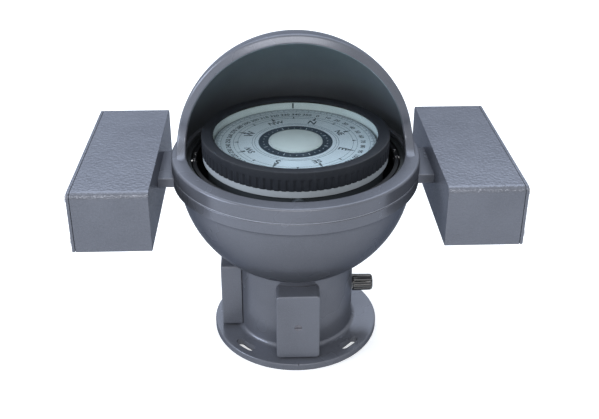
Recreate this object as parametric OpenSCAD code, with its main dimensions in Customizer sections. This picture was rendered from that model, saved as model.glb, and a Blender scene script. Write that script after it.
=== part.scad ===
// Marine magnetic compass on a flanged pedestal, with a half-dome hood and a soft iron
// corrector box on each side. Millimetres, +Z up, the reader stands at -Y, and the origin
// is the centre of the mounting flange's underside.

/* [Pedestal] */
// Radius of the mounting flange
flange_r = 70; // [69:0.5:80]
// Thickness of the mounting flange
flange_t = 6; // [5:0.5:9]
// Radius of the circle through the middle of the four mounting slots
slot_circle_r = 61; // [60:0.5:64]
// Width of each mounting slot
slot_w = 7; // [5:0.5:8]
// Length of each mounting slot between its end centres, in degrees
slot_sweep = 12; // [5:0.5:14]
// Outer radius of the pedestal neck
neck_r = 48.5; // [46:0.5:52]
// Wall of the pedestal neck
neck_wall = 5; // [4:0.5:7]
// Height of the neck above the flange
neck_h = 65; // [62:1:80]
// Thickness of the deck that closes the top of the neck
deck_t = 5; // [4:0.5:7]
// Radius of the hollow fillet where the neck meets the flange
foot_fillet = 4; // [2:0.5:6]

/* [Magnet covers] */
// Width of each magnet cover
cover_w = 35; // [33:0.5:36]
// Height of each magnet cover
cover_h = 60; // [56:1:62]
// Distance that a cover stands out from the neck
cover_reach = 14.5; // [12:0.5:16]
// Wall of a magnet cover
cover_wall = 2; // [1.5:0.25:2.5]
// Corner radius of a magnet cover
cover_round = 3; // [2:0.5:4]
// Gap between a cover and the flange
cover_lift = 1.2; // [0.6:0.2:2]
// Gap between a cover and the neck
cover_gap = 0.8; // [0.3:0.1:1.2]

/* [Corrector magnets] */
// Outer radius of a magnet tube
tube_r = 3.5; // [3:0.1:3.6]
// Wall of a magnet tube
tube_wall = 0.5; // [0.4:0.1:0.8]
// Height step between neighbouring rows of magnet tubes
tube_step = 13; // [10:0.5:14]
// Length of a corrector magnet
magnet_l = 60; // [40:1:80]
// Outer radius of the upright heeling magnet tube
heel_tube_r = 5.5; // [5:0.1:5.6]
// Length of the heeling magnet carrier
heel_carrier_l = 20; // [16:1:24]

/* [Housing] */
// Outer radius of the rim band, which the hood ring shares and the bowl's sizes follow
rim_r = 99; // [94:0.5:112]
// Step from the rim band in to the round housing
housing_step = 5; // [3.5:0.25:6.5]
// Wall of the round housing
housing_wall = 4.5; // [3.5:0.5:5]
// Height of the rim band
band_h = 9.5; // [8:0.5:12]
// Depth of the rim from the band in to its bore
rim_depth = 15.5; // [14:0.25:15.5]
// Height of the upstanding rim above the band
rim_rise = 7.4; // [6:0.2:8]
// Thickness of the gasket between the band and the hood
gasket_t = 0.8; // [0.5:0.1:1.5]

/* [Hood] */
// Step from the hood ring in to the dome
dome_step = 4.5; // [2.5:0.5:6.5]
// Wall of the dome
dome_wall = 4.5; // [3:0.5:6]
// Width of the lip around the viewing opening
lip_w = 7.5; // [6:0.5:8.5]
// Depth of the lip around the viewing opening
lip_depth = 6; // [4:0.5:9]
// Height of the hood ring
hood_ring_h = 11.2; // [10:0.2:13]
// Step from the rim's bore out to the hood ring's bore
eye_step = 3.4; // [2:0.2:4]
// Thickness of the hood ring's top web
hood_web_t = 3.6; // [3:0.2:4]
// Radius of the hollow fillets where the opening's lip runs into the hood ring
leg_fillet = 20; // [8:1:24]
// Radius of the rounded edge at the top of the hood ring
hood_edge_r = 2; // [1:0.5:3]
// Radius of the hollow fillet around the dome's foot
root_fillet = 2.2; // [1:0.2:2.4]

/* [Gimbal] */
// Height of the gimbal axes above the centre of the round housing
gimbal_rise = 5; // [4.5:0.25:6]
// Gap between the gimbal ring and the rim
gimbal_gap = 1.2; // [0.9:0.1:1.3]
// Radial thickness of the gimbal ring
gimbal_t = 3; // [2.5:0.1:3.2]
// Height of the gimbal ring
gimbal_h = 8; // [7:0.5:10]
// Radius of the four pivot noses
pivot_r = 2; // [1.5:0.1:2.2]

/* [Compass bowl] */
// Gap between the bezel ring and the gimbal ring
bezel_gap = 4.8; // [4.7:0.1:5.3]
// Thickness of the bezel's grip outside the bowl
grip_t = 4; // [3.6:0.1:4.4]
// Wall of the bowl
bowl_wall = 3.7; // [3:0.1:3.8]
// Depth of the bowl below the gimbal axes, down to its floor
bowl_depth = 22.5; // [20:0.5:25]
// Height of the bezel ring
bezel_h = 15.5; // [14:0.5:15.5]
// Step from the bowl's bore in to the bezel's window
window_lip = 1.6; // [0.8:0.1:2.8]
// Number of grip flutes around the bezel
bezel_flutes = 84; // [60:4:96]
// Thickness of the top glass
glass_t = 4; // [3:0.5:5]
// Step from the bowl's bore in to the lower glass
lower_glass_step = 19.8; // [18.8:0.2:22.8]
// Height of the ballast ring
ballast_h = 10; // [6:0.5:11]

/* [Compass card] */
// Gap between the compass card and the bowl
card_gap = 1.8; // [1.3:0.1:4]
// Thickness of the compass card
card_t = 0.8; // [0.6:0.1:1.5]
// Radius of the clear dome at the middle of the card
card_dome_r = 21.5; // [18:0.5:26]
// Radius of the float under the card
float_r = 29; // [27:0.5:40]
// Length of a card magnet
card_magnet_l = 46; // [40:1:50]

/* [Corrector boxes] */
// Gap between the rim band and each corrector box
box_gap = 9; // [8:0.5:20]
// Width of a corrector box
box_w = 59; // [50:1:80]
// Length of a corrector box
box_l = 157; // [140:1:180]
// Height of a corrector box
box_h = 48; // [42:1:56]
// Sheet thickness of a corrector box
box_wall = 2; // [1.5:0.25:3]
// Outside radius of the box's bends
box_bend = 5; // [4:0.5:8]
// Thickness of a box's outer end plate
end_plate_t = 2.5; // [2:0.25:4]
// Height of the box's middle below the arm's middle
box_drop = 4; // [0:0.5:8]
// Width of the arm that carries a box
arm_w = 50; // [44:1:60]
// Height of the arm that carries a box
arm_h = 8; // [7:0.5:9]
// Number of soft iron plates in each box
iron_plates = 6; // [2:1:9]
// Thickness of a soft iron plate
iron_t = 3; // [2:0.25:3.5]

/* [Dimmer] */
// Radius of the dimmer knob
knob_r = 7.3; // [6.8:0.1:9]
// Length of the dimmer knob
knob_l = 17.5; // [14:0.5:22]
// Number of flutes around the dimmer knob
knob_flutes = 12; // [8:1:18]

/* [Hidden] */
$fn = 96;
seat_gap = 0.05;
thread_gap = 0.02;
far = 400;

// Radii, from the rim band inwards
housing_r = rim_r - housing_step;
dome_r = rim_r - dome_step;
rim_bore_r = rim_r - rim_depth;
hood_eye_r = rim_bore_r + eye_step;
gimbal_r = rim_bore_r - gimbal_gap;
gimbal_bore_r = gimbal_r - gimbal_t;
bezel_r = gimbal_bore_r - bezel_gap;
bowl_r = bezel_r - grip_t;
bowl_bore_r = bowl_r - bowl_wall;
window_r = bowl_bore_r - window_lip;
card_r = bowl_bore_r - card_gap;
lower_glass_r = bowl_bore_r - lower_glass_step;

// Heights, from the flange up
band_drop = 7;
neck_top = flange_t + neck_h;
cover_z0 = flange_t + cover_lift;
cover_mid_z = cover_z0 + cover_h / 2;
housing_z = neck_top + sqrt(housing_r * housing_r - neck_r * neck_r);
floor_z = neck_top + housing_wall;
band_z0 = housing_z - band_drop;
band_z1 = band_z0 + band_h;
hood_z0 = band_z1 + gasket_t;
hood_z1 = hood_z0 + hood_ring_h;
rim_z1 = band_z1 + rim_rise;
gimbal_z = housing_z + gimbal_rise;

// Screws
screw_circle_r = neck_r - 10.5;
screw_r = 2.5;
screw_head_r = 4.2;
screw_head_h = 3;
plate_screw_r = 1.5;
plate_screw_head_r = 2.8;
plate_screw_head_h = 1.6;
cover_screw_r = 1.5;
cover_screw_head_r = 3.1;
cover_screw_head_h = 1.6;
drive_slot_w = 0.8;
lock_screw_r = 1.1;
lock_screw_head_h = 0.8;

// Rim and gimbal
skirt_gap = 0.4;
spigot_step = 4.1;
rim_out_r = rim_r - spigot_step;
pivot_bore_r = pivot_r + seat_gap;
pivot_thread_r = 2.5;
pivot_plug_r = 3;
gimbal_mid_r = gimbal_bore_r + gimbal_t / 2;
lock_angles = [-4, 4, 176, 184];

// Compass bowl, from the gimbal axes
ledge_rise = 5.3;
ledge_t = 5.2;
bezel_band_h = 6;
bezel_fit = 0.1;
flute_r = 1.6;
flute_depth = 0.8;
ledge_z0 = gimbal_z + ledge_rise;
ledge_z1 = ledge_z0 + ledge_t;
bezel_z1 = ledge_z1 + bezel_h;
bezel_lip = 2;
glass_z1 = bezel_z1 - bezel_lip;
glass_z0 = glass_z1 - glass_t;
seal_t = 0.6;
bowl_z1 = glass_z0 - seal_t;
glass_r = bowl_r - 0.5;
ledge_r = bezel_r - 0.5;
bowl_floor_z1 = gimbal_z - bowl_depth;
bowl_floor_t = 7;
bowl_floor_z0 = bowl_floor_z1 - bowl_floor_t;
lower_glass_t = 3;
lower_ring_t = 1.5;
lower_glass_z0 = bowl_floor_z1 - lower_glass_t - lower_ring_t;
tail_wall = 4;
tail_r = lower_glass_r + tail_wall;
ballast_w = 13;
clamp_w = 4;
shoulder_z = bowl_floor_z1 + clamp_w;
membrane_t = 0.6;
boss_reach = 6.5;
boss_r = 5;
filler_drop = 6;

// Card and its pivot
card_rise = 14;
card_z1 = gimbal_z + card_rise;
card_z0 = card_z1 - card_t;
card_dome_h = 2.2;
float_h = 9.5;
float_z0 = card_z0 - float_h;
card_magnet_w = 5;
card_magnet_x = 12;
cap_r = 4.6;
cap_z0 = card_z0 - 6;
pin_tip_z = card_z0 - 3;
pin_r = 1.2;
hub_r = 6;
hub_h = 9;
bridge_z0 = shoulder_z + membrane_t;
bridge_t = 3;

// Corrector boxes
arm_lift = 1.5;
arm_z0 = band_z0 + arm_lift;
arm_mid_z = arm_z0 + arm_h / 2;
box_x0 = rim_r + box_gap;
box_x1 = box_x0 + box_w;
box_z0 = arm_mid_z - box_drop - box_h / 2;
box_z1 = box_z0 + box_h;
base_t = 3;
plate_end_space = 7;
plate_edge_space = 6;
plate_stand = 4;
plate_h = box_h - 2 * plate_edge_space;
plate_l = box_l - 2 * plate_end_space;
plate_gap = 0.2;
plate_x0 = box_x0 + box_wall + plate_stand;
plate_x1 = plate_x0 + iron_plates * (iron_t + plate_gap);
plate_mid_z = (box_z0 + box_z1) / 2;
bolt_r = 2.5;
bolt_collar_r = 5;
bolt_nut_r = 4.6;
bolt_nut_h = 4;
bolt_y = plate_l / 3;

// Lugs that the end plate's screws go into
lug = 8;
lug_y = box_l / 2 - box_wall - lug / 2;
lug_levels = [box_z0 + base_t + lug / 2, box_z1 - box_wall - lug / 2];

// Arm fastenings: two screws from the rim, and two from the box between them
arm_root = 6;
arm_screw_edge = 7;
arm_screw_y = arm_w / 2 - arm_screw_edge;
box_screw_y = arm_screw_y - 2 * screw_r - 0.5;
arm_screw_seat = 10;
arm_screw_end = 3;
box_screw_end = 2;

// Dimmer
knob_x0 = neck_r + 0.5;
shaft_r = 3;
bush_r = 4.5;
nut_r = 5.9;
nut_h = 2;
pot_r = 8;
pot_l = 14;
pot_x1 = sqrt(pow(neck_r - neck_wall, 2) - pot_r * pot_r) - 0.3;
pot_x0 = pot_x1 - pot_l;
lead_r = 1;
lead_x = pot_x0 + 1.5;

// Lamp
lamp_r = lead_x + lead_r + 2;
lamp_t = 1.6;
lens_r = 22;
lens_h = 3;

// The bowl's tail, as deep as the ballast's swing over the lamp's lens allows
ballast_gap = 1.8;
swing_r = gimbal_z - floor_z - lamp_t - lens_h - ballast_gap;
tail_h = sqrt(swing_r * swing_r - tail_r * tail_r) - bowl_depth - bowl_floor_t - ballast_h;
tail_z0 = bowl_floor_z0 - tail_h;

// Levels of the magnet tubes: the fore-and-aft rows lie between the athwartship rows
fore_levels = [cover_mid_z - tube_step / 2, cover_mid_z + tube_step / 2];
side_levels = [cover_mid_z - tube_step * 3 / 2, cover_mid_z + tube_step * 3 / 2];
pad_reach = 4;
pad_gap = 0.3;
foot_gap = 0.4;
tube_gap = 0.4;
tube_end_gap = 3.6;
tube_far = neck_r - tube_end_gap;
tube_offset = heel_tube_r + tube_r + tube_gap;

// A rectangle of the profile plane between two radii and two heights
module band2d(r0, r1, z0, z1) {
    translate([r0, z0]) square([r1 - r0, z1 - z0]);
}

// A flat washer shape
module washer(r0, r1, z0, z1) {
    rotate_extrude() band2d(r0, r1, z0, z1);
}

// A rectangle with its lowest corner at the origin and four round corners
module round_rect(w, h, r) {
    translate([r, 0]) square([w - 2 * r, h]);
    translate([0, r]) square([w, h - 2 * r]);
    for (x = [r, w - r], y = [r, h - r]) translate([x, y]) circle(r, $fn = 48);
}

// A cylinder along +X from x0 to x1 at height z and offset y
module rod_x(x0, x1, r, y = 0, z = 0) {
    translate([x0, y, z]) rotate([0, 90, 0]) cylinder(h = x1 - x0, r = r, $fn = 48);
}

// Turns what is drawn on the +X side to face the reader at -Y
module to_front() {
    rotate([0, 0, -90]) children();
}

// Turns what is drawn on the +X side to face -X
module to_left() {
    rotate([0, 0, 180]) children();
}

// Draws its children on the +X side and again, mirrored, on the -X side
module both_sides() {
    children();
    mirror([1, 0, 0]) children();
}

// A slot that follows the slot circle, cut through the flange at an angle
module arc_slot(angle) {
    rotate([0, 0, angle - slot_sweep / 2]) translate([0, 0, -1]) union() {
        rotate_extrude(angle = slot_sweep)
            band2d(slot_circle_r - slot_w / 2, slot_circle_r + slot_w / 2, 0, flange_t + 2);
        for (a = [0, slot_sweep]) rotate([0, 0, a]) translate([slot_circle_r, 0, 0])
            cylinder(h = flange_t + 2, r = slot_w / 2, $fn = 32);
    }
}

// The block that a magnet cover slides over, on the +X side
module cover_pad() {
    inner_w = cover_w - 2 * cover_wall - 2 * pad_gap;
    inner_h = cover_h - 2 * cover_wall - 2 * pad_gap;
    translate([neck_r - neck_wall + 1, -inner_w / 2, cover_mid_z - inner_h / 2])
        cube([neck_wall - 1 + pad_reach, inner_w, inner_h]);
    rod_x(neck_r, neck_r + cover_reach - cover_wall, 4, 0, cover_mid_z);
}

// The bores that hold two rows of magnet tubes, mouths on the +X side
module tube_bores(levels) {
    for (z = levels, y = [-tube_offset, tube_offset])
        rod_x(-tube_far, neck_r + pad_reach + 1, tube_r + seat_gap, y, z);
}

// The profile of the hollow fillet at the neck's foot, with a gap around it
module foot_profile(gap) {
    difference() {
        band2d(neck_r - 1, neck_r + foot_fillet, flange_t - 1, flange_t + foot_fillet);
        translate([neck_r + foot_fillet, flange_t + foot_fillet]) circle(foot_fillet - gap);
    }
}

module pedestal() {
    color("#8b8f9d") difference() {
        union() {
            rotate_extrude() union() {
                band2d(neck_r - neck_wall, flange_r - 1, 0, flange_t);
                band2d(neck_r - neck_wall, flange_r, 0, flange_t - 1);
                translate([flange_r - 1, flange_t - 1]) circle(1, $fn = 32);
                band2d(neck_r - neck_wall, neck_r, 0, neck_top);
                band2d(heel_tube_r, neck_r, neck_top - deck_t, neck_top);
                foot_profile(0);
            }
            to_front() cover_pad();
            to_left() cover_pad();
        }
        for (a = [45:90:315]) arc_slot(a);
        to_front() tube_bores(fore_levels);
        to_left() tube_bores(side_levels);
        to_front() rod_x(neck_r, far, cover_screw_r + 0.1, 0, cover_mid_z);
        to_left() rod_x(neck_r, far, cover_screw_r + 0.1, 0, cover_mid_z);
        for (a = [45:90:315]) rotate([0, 0, a]) translate([screw_circle_r, 0, neck_top - deck_t - 1])
            cylinder(h = deck_t + 2, r = screw_r + thread_gap, $fn = 32);
        rod_x(neck_r - neck_wall - 1, neck_r + 2, bush_r + seat_gap, 0, cover_mid_z);
        translate([lead_x, 0, neck_top - deck_t - 1]) cylinder(h = deck_t + 2, r = lead_r + 0.5, $fn = 32);
        translate([0, -flange_r, flange_t]) rotate([0, 45, 0]) cube([1, 3, 1], center = true);
    }
}

module housing() {
    color("#858995") difference() {
        union() {
            rotate_extrude() difference() {
                union() {
                    intersection() {
                        translate([0, housing_z]) circle(housing_r, $fn = 180);
                        band2d(0, housing_r, neck_top, housing_z);
                    }
                    band2d(rim_bore_r, rim_r, band_z0, band_z1);
                    band2d(rim_bore_r, rim_out_r, band_z0, rim_z1);
                }
                intersection() {
                    translate([0, housing_z]) circle(housing_r - housing_wall, $fn = 180);
                    band2d(0, housing_r, floor_z, housing_z - 1);
                }
                band2d(0, rim_bore_r, housing_z - 2, rim_z1 + 1);
                band2d(0, 8, 0, floor_z + 1);
                polygon([[rim_r - 1, band_z0 - 0.01], [rim_r + 1, band_z0 - 0.01], [rim_r + 1, band_z0 + 2]]);
            }
        }
        both_sides() rod_x(rim_bore_r - 2, rim_r + 2, pivot_thread_r + seat_gap, 0, gimbal_z);
        both_sides() for (y = [-arm_screw_y, arm_screw_y]) union() {
            rod_x(rim_bore_r - 12, rim_r + 2, screw_r + seat_gap, y, arm_mid_z);
            rod_x(rim_bore_r - 12, rim_r - arm_screw_seat, screw_head_r + 0.4, y, arm_mid_z);
        }
        for (a = [45:90:315]) rotate([0, 0, a]) translate([screw_circle_r, 0, neck_top - 1])
            cylinder(h = housing_wall + 2, r = screw_r + seat_gap, $fn = 32);
        translate([lead_x, 0, neck_top - 1]) cylinder(h = housing_wall + 2, r = lead_r + 0.5, $fn = 32);
    }
}

module rim_gasket() {
    color("#c9ccd6") washer(rim_out_r + 0.2, rim_r - 0.6, band_z1, hood_z0);
}

// A socket-head screw along +Z: its shank starts at z0 and its head sits on z1
module cap_screw(r, z0, z1, head_r, head_h) {
    translate([0, 0, z0]) cylinder(h = z1 - z0, r = r, $fn = 32);
    difference() {
        translate([0, 0, z1]) cylinder(h = head_h, r = head_r, $fn = 32);
        translate([0, 0, z1 + head_h / 2]) cylinder(h = head_h, r = r, $fn = 6);
    }
}

module housing_screws() {
    color("#b8bac0") for (a = [45:90:315]) rotate([0, 0, a]) translate([screw_circle_r, 0, 0])
        cap_screw(screw_r, neck_top - deck_t - 2, floor_z, screw_head_r, screw_head_h);
}

module corrector_arm() {
    difference() {
        translate([rim_r - arm_root, -arm_w / 2, arm_z0]) cube([box_gap + arm_root, arm_w, arm_h]);
        cylinder(h = far, r = rim_r, $fn = 180);
        for (y = [-arm_screw_y, arm_screw_y])
            rod_x(rim_r - arm_root - 1, rim_r + box_gap - arm_screw_end, screw_r + thread_gap, y, arm_mid_z);
        for (y = [-box_screw_y, box_screw_y])
            rod_x(rim_r + box_screw_end, box_x0 + 1, screw_r + thread_gap, y, arm_mid_z);
    }
}

module arm_right() {
    color("#858995") corrector_arm();
}

module arm_left() {
    color("#858995") mirror([1, 0, 0]) corrector_arm();
}

// Screws from inside the rim into the arms
module arm_screws() {
    color("#b8bac0") both_sides() for (y = [-arm_screw_y, arm_screw_y])
        translate([0, y, arm_mid_z]) rotate([0, -90, 0])
            cap_screw(screw_r, -rim_r - box_gap + arm_screw_end, -rim_r + arm_screw_seat, screw_head_r, screw_head_h);
}

// Screws from inside the boxes into the arms
module box_screws() {
    color("#b8bac0") both_sides() for (y = [-box_screw_y, box_screw_y])
        translate([0, y, arm_mid_z]) rotate([0, 90, 0])
            cap_screw(screw_r, rim_r + box_screw_end, box_x0 + box_wall, screw_head_r, screw_head_h);
}

// The side view of a corrector box, shrunk by a sheet's thickness, as Y and Z
module box_outline(inset) {
    r = box_bend - inset;
    l = box_l - 2 * inset;
    translate([-l / 2, box_z0]) union() {
        square([l, box_h - inset - r]);
        translate([r, 0]) square([l - 2 * r, box_h - inset]);
        for (y = [r, l - r]) translate([y, box_h - inset - r]) circle(r, $fn = 48);
    }
}

// Stands a flat Y-Z drawing up between two X values
module upright(x0, x1) {
    translate([x0, 0, 0]) rotate([90, 0, 90]) linear_extrude(x1 - x0) children();
}

// The four lugs' outline, let into the walls by half a sheet's thickness
module lug_outline() {
    intersection() {
        box_outline(box_wall / 2);
        for (side = [-1, 1], z = lug_levels)
            translate([side * (lug_y + box_wall / 2), z]) square([lug + box_wall, lug], center = true);
    }
}

module corrector_cover() {
    x_end = box_x1 - end_plate_t;
    difference() {
        union() {
            upright(box_x0, x_end) difference() {
                box_outline(0);
                box_outline(box_wall);
                translate([-box_l / 2 + box_wall, box_z0 - 1]) square([box_l - 2 * box_wall, 2]);
            }
            upright(box_x0, box_x0 + box_wall) box_outline(0);
            upright(x_end - lug, x_end) lug_outline();
        }
        for (y = [-box_screw_y, box_screw_y])
            rod_x(box_x0 - 1, box_x0 + box_wall + 1, screw_r + seat_gap, y, arm_mid_z);
        for (y = [-bolt_y, bolt_y])
            rod_x(box_x0 - 1, box_x0 + box_wall + 1, bolt_r + seat_gap, y, plate_mid_z);
        for (y = [-lug_y, lug_y], z = lug_levels)
            rod_x(x_end - lug + 1, x_end + 1, plate_screw_r + thread_gap, y, z);
    }
}

module corrector_cover_right() {
    color("#83889a") corrector_cover();
}

module corrector_cover_left() {
    color("#83889a") mirror([1, 0, 0]) corrector_cover();
}

module corrector_base() {
    translate([box_x0 + box_wall, -box_l / 2 + box_wall, box_z0])
        cube([box_w - box_wall - end_plate_t, box_l - 2 * box_wall, base_t - seat_gap]);
}

module corrector_base_right() {
    color("#767a87") corrector_base();
}

module corrector_base_left() {
    color("#767a87") mirror([1, 0, 0]) corrector_base();
}

module end_plate() {
    difference() {
        upright(box_x1 - end_plate_t, box_x1) box_outline(0);
        for (y = [-lug_y, lug_y], z = lug_levels)
            rod_x(box_x1 - end_plate_t - 1, box_x1 + 1, plate_screw_r + seat_gap, y, z);
    }
}

module end_plate_right() {
    color("#83889a") end_plate();
}

module end_plate_left() {
    color("#83889a") mirror([1, 0, 0]) end_plate();
}

module end_plate_screws() {
    color("#b8bac0") both_sides() for (y = [-lug_y, lug_y], z = lug_levels)
        translate([0, y, z]) rotate([0, 90, 0])
            cap_screw(plate_screw_r, box_x1 - end_plate_t - lug + 2, box_x1, plate_screw_head_r, plate_screw_head_h);
}

module soft_iron() {
    difference() {
        for (i = [0:iron_plates - 1])
            translate([plate_x0 + i * (iron_t + plate_gap), -plate_l / 2, plate_mid_z - plate_h / 2])
                cube([iron_t, plate_l, plate_h]);
        for (y = [-bolt_y, bolt_y]) rod_x(plate_x0 - 1, plate_x1 + 1, bolt_r + plate_gap, y, plate_mid_z);
        for (y = [-box_screw_y, box_screw_y])
            rod_x(plate_x0 - 1, plate_x1 + 1, screw_head_r + screw_head_r / 2, y, arm_mid_z);
    }
}

module soft_iron_right() {
    color("#5d6067") soft_iron();
}

module soft_iron_left() {
    color("#5d6067") mirror([1, 0, 0]) soft_iron();
}

// Through bolts with a collar behind the plates and a nut in front of them
module clamp_bolts() {
    for (y = [-bolt_y, bolt_y]) union() {
        rod_x(box_x0 + 0.2, plate_x1 + 2 * bolt_nut_h, bolt_r, y, plate_mid_z);
        rod_x(box_x0 + box_wall, plate_x0, bolt_collar_r, y, plate_mid_z);
        translate([plate_x1, y, plate_mid_z]) rotate([0, 90, 0]) cylinder(h = bolt_nut_h, r = bolt_nut_r, $fn = 6);
    }
}

module clamp_bolts_right() {
    color("#b8bac0") clamp_bolts();
}

module clamp_bolts_left() {
    color("#b8bac0") mirror([1, 0, 0]) clamp_bolts();
}

// A rounded block against the neck on the +X side, shrunk all round by an inset
module cover_block(inset) {
    w = cover_w - 2 * inset;
    h = cover_h - 2 * inset;
    r = cover_round - inset;
    x1 = neck_r + cover_reach - inset;
    intersection() {
        translate([0, -w / 2, cover_z0 + inset]) rotate([90, 0, 90]) linear_extrude(x1) round_rect(w, h, r);
        translate([-far + x1, -w / 2, 0]) linear_extrude(far) round_rect(far, w, r);
        translate([0, w / 2, 0]) rotate([90, 0, 0]) linear_extrude(w)
            translate([-far + x1, cover_z0 + inset]) round_rect(far, h, r);
    }
}

module magnet_cover() {
    difference() {
        cover_block(0);
        cover_block(cover_wall);
        cylinder(h = far, r = neck_r + cover_gap, center = true);
        rotate_extrude() foot_profile(foot_gap);
        rod_x(neck_r, neck_r + cover_reach + 1, cover_screw_r + 0.1, 0, cover_mid_z);
        translate([neck_r + cover_reach - cover_screw_head_h, 0, cover_mid_z]) rotate([0, 90, 0])
            cylinder(h = cover_screw_head_h + 0.1, r1 = cover_screw_r + 0.1, r2 = cover_screw_head_r + 0.2, $fn = 48);
    }
}

module front_cover() {
    color("#8b8f9d") to_front() magnet_cover();
}

module side_cover() {
    color("#8b8f9d") to_left() magnet_cover();
}

// A countersunk screw along +X whose flat head is flush with the cover
module cover_screw() {
    x1 = neck_r + cover_reach;
    difference() {
        union() {
            rod_x(neck_r + 2, x1 - cover_screw_head_h, cover_screw_r, 0, cover_mid_z);
            translate([x1 - cover_screw_head_h, 0, cover_mid_z]) rotate([0, 90, 0])
                cylinder(h = cover_screw_head_h, r1 = cover_screw_r, r2 = cover_screw_head_r, $fn = 48);
        }
        translate([x1, 0, cover_mid_z]) cube([cover_screw_r * 0.8, 3 * cover_screw_head_r, drive_slot_w], center = true);
    }
}

module magnet_cover_screws() {
    color("#b8bac0") union() {
        to_front() cover_screw();
        to_left() cover_screw();
    }
}

module magnet_tubes(levels) {
    for (z = levels, y = [-tube_offset, tube_offset]) difference() {
        rod_x(-tube_far, neck_r + pad_reach, tube_r, y, z);
        rod_x(-tube_far - 1, neck_r + pad_reach + 1, tube_r - tube_wall, y, z);
    }
}

module fore_magnet_tubes() {
    color("#c9a655") to_front() magnet_tubes(fore_levels);
}

module side_magnet_tubes() {
    color("#c9a655") to_left() magnet_tubes(side_levels);
}

module magnets(levels) {
    for (z = levels, y = [-tube_offset, tube_offset])
        rod_x(-magnet_l / 2, magnet_l / 2, tube_r - tube_wall - 0.2, y, z);
}

module fore_magnets() {
    color("#a33b33") to_front() magnets(fore_levels);
}

module side_magnets() {
    color("#a33b33") to_left() magnets(side_levels);
}

module heeling_tube() {
    color("#c9a655") washer(heel_tube_r - 1, heel_tube_r - 0.02, flange_t + 9, neck_top);
}

module heeling_carrier() {
    r = heel_tube_r - 1 - seat_gap;
    z0 = cover_mid_z - heel_carrier_l / 2;
    color("#d8d2c2") rotate_extrude() difference() {
        band2d(0, r, z0, z0 + heel_carrier_l);
        band2d(0, r - 1.2, z0 + 2, z0 + heel_carrier_l + 1);
    }
}

module heeling_magnet() {
    z0 = cover_mid_z - heel_carrier_l / 2 + 2;
    color("#a33b33") translate([0, 0, z0])
        cylinder(h = heel_carrier_l - 3, r = heel_tube_r - 2.4, $fn = 48);
}

module lamp_board() {
    color("#e6e6dc") difference() {
        translate([0, 0, floor_z]) cylinder(h = lamp_t, r = lamp_r);
        translate([lead_x, 0, floor_z - 1]) cylinder(h = lamp_t + 2, r = lead_r + 0.02, $fn = 32);
    }
}

module lamp_lens() {
    ball_r = (lens_r * lens_r + lens_h * lens_h) / (2 * lens_h);
    color("#f4f0de") rotate_extrude() intersection() {
        translate([0, floor_z + lamp_t + lens_h - ball_r]) circle(ball_r, $fn = 180);
        band2d(0, lens_r + 5, floor_z + lamp_t, floor_z + lamp_t + lens_h + 1);
    }
}

module lamp_lead() {
    color("#30343c") translate([lead_x, 0, cover_mid_z + pot_r])
        cylinder(h = floor_z + lamp_t - cover_mid_z - pot_r, r = lead_r, $fn = 32);
}

module dimmer_knob() {
    x1 = knob_x0 + knob_l;
    color("#1b1d20") difference() {
        union() {
            translate([knob_x0, 0, cover_mid_z]) rotate([0, 90, 0]) linear_extrude(knob_l - 1.5) difference() {
                circle(knob_r);
                for (i = [0:knob_flutes - 1]) rotate(i * 360 / knob_flutes)
                    translate([knob_r + 0.4, 0]) circle(1, $fn = 24);
            }
            translate([x1 - 1.5, 0, cover_mid_z]) rotate([0, 90, 0]) cylinder(h = 1.5, r1 = knob_r - 0.6, r2 = knob_r - 1.5);
        }
        rod_x(knob_x0 - 1, knob_x0 + 3, 6.2, 0, cover_mid_z);
        rod_x(knob_x0 - 1, x1 - 4, shaft_r, 0, cover_mid_z);
    }
}

module dimmer_shaft() {
    color("#b8bac0") rod_x(pot_x1 - 4, knob_x0 + knob_l - 4, shaft_r - 0.02, 0, cover_mid_z);
}

module dimmer_body() {
    color("#4c5a4c") difference() {
        union() {
            rod_x(pot_x0, pot_x1, pot_r, 0, cover_mid_z);
            rod_x(pot_x1 - 1, knob_x0 + 2.4, bush_r, 0, cover_mid_z);
        }
        rod_x(pot_x1 - 5, knob_x0 + 3, shaft_r + seat_gap, 0, cover_mid_z);
    }
}

module dimmer_nut() {
    color("#b8bac0") difference() {
        translate([neck_r, 0, cover_mid_z]) rotate([0, 90, 0]) cylinder(h = nut_h, r = nut_r, $fn = 6);
        rod_x(neck_r - 1, neck_r + nut_h + 1, bush_r + thread_gap, 0, cover_mid_z);
    }
}

// The dome over the rear half, as a shell that starts at the plane of the opening
module dome_shell() {
    difference() {
        translate([0, 0, hood_z1]) sphere(dome_r, $fn = 180);
        translate([0, 0, hood_z1]) sphere(dome_r - dome_wall, $fn = 180);
        translate([-far, -far, hood_z1 - far]) cube([2 * far, 2 * far, far - 0.5]);
        translate([-far, -2 * far, hood_z1 - far]) cube([2 * far, 2 * far, 2 * far]);
    }
}

// The thick lip that edges the viewing opening
module opening_lip() {
    difference() {
        translate([0, 0, hood_z1]) rotate([-90, 0, 0]) difference() {
            intersection() {
                cylinder(h = lip_depth, r = dome_r, $fn = 180);
                sphere(dome_r, $fn = 180);
            }
            translate([0, 0, -1]) cylinder(h = lip_depth + 2, r = dome_r - lip_w, $fn = 180);
        }
        translate([-far, -far, hood_z1 - far - 0.5]) cube([2 * far, 2 * far, far]);
    }
}

module hood_ring() {
    rotate_extrude() union() {
        band2d(hood_eye_r, rim_r - hood_edge_r, hood_z1 - hood_web_t, hood_z1);
        band2d(rim_out_r + skirt_gap, rim_r, hood_z0, hood_z1 - hood_edge_r);
        translate([rim_r - hood_edge_r, hood_z1 - hood_edge_r]) circle(hood_edge_r, $fn = 48);
    }
}

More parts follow.
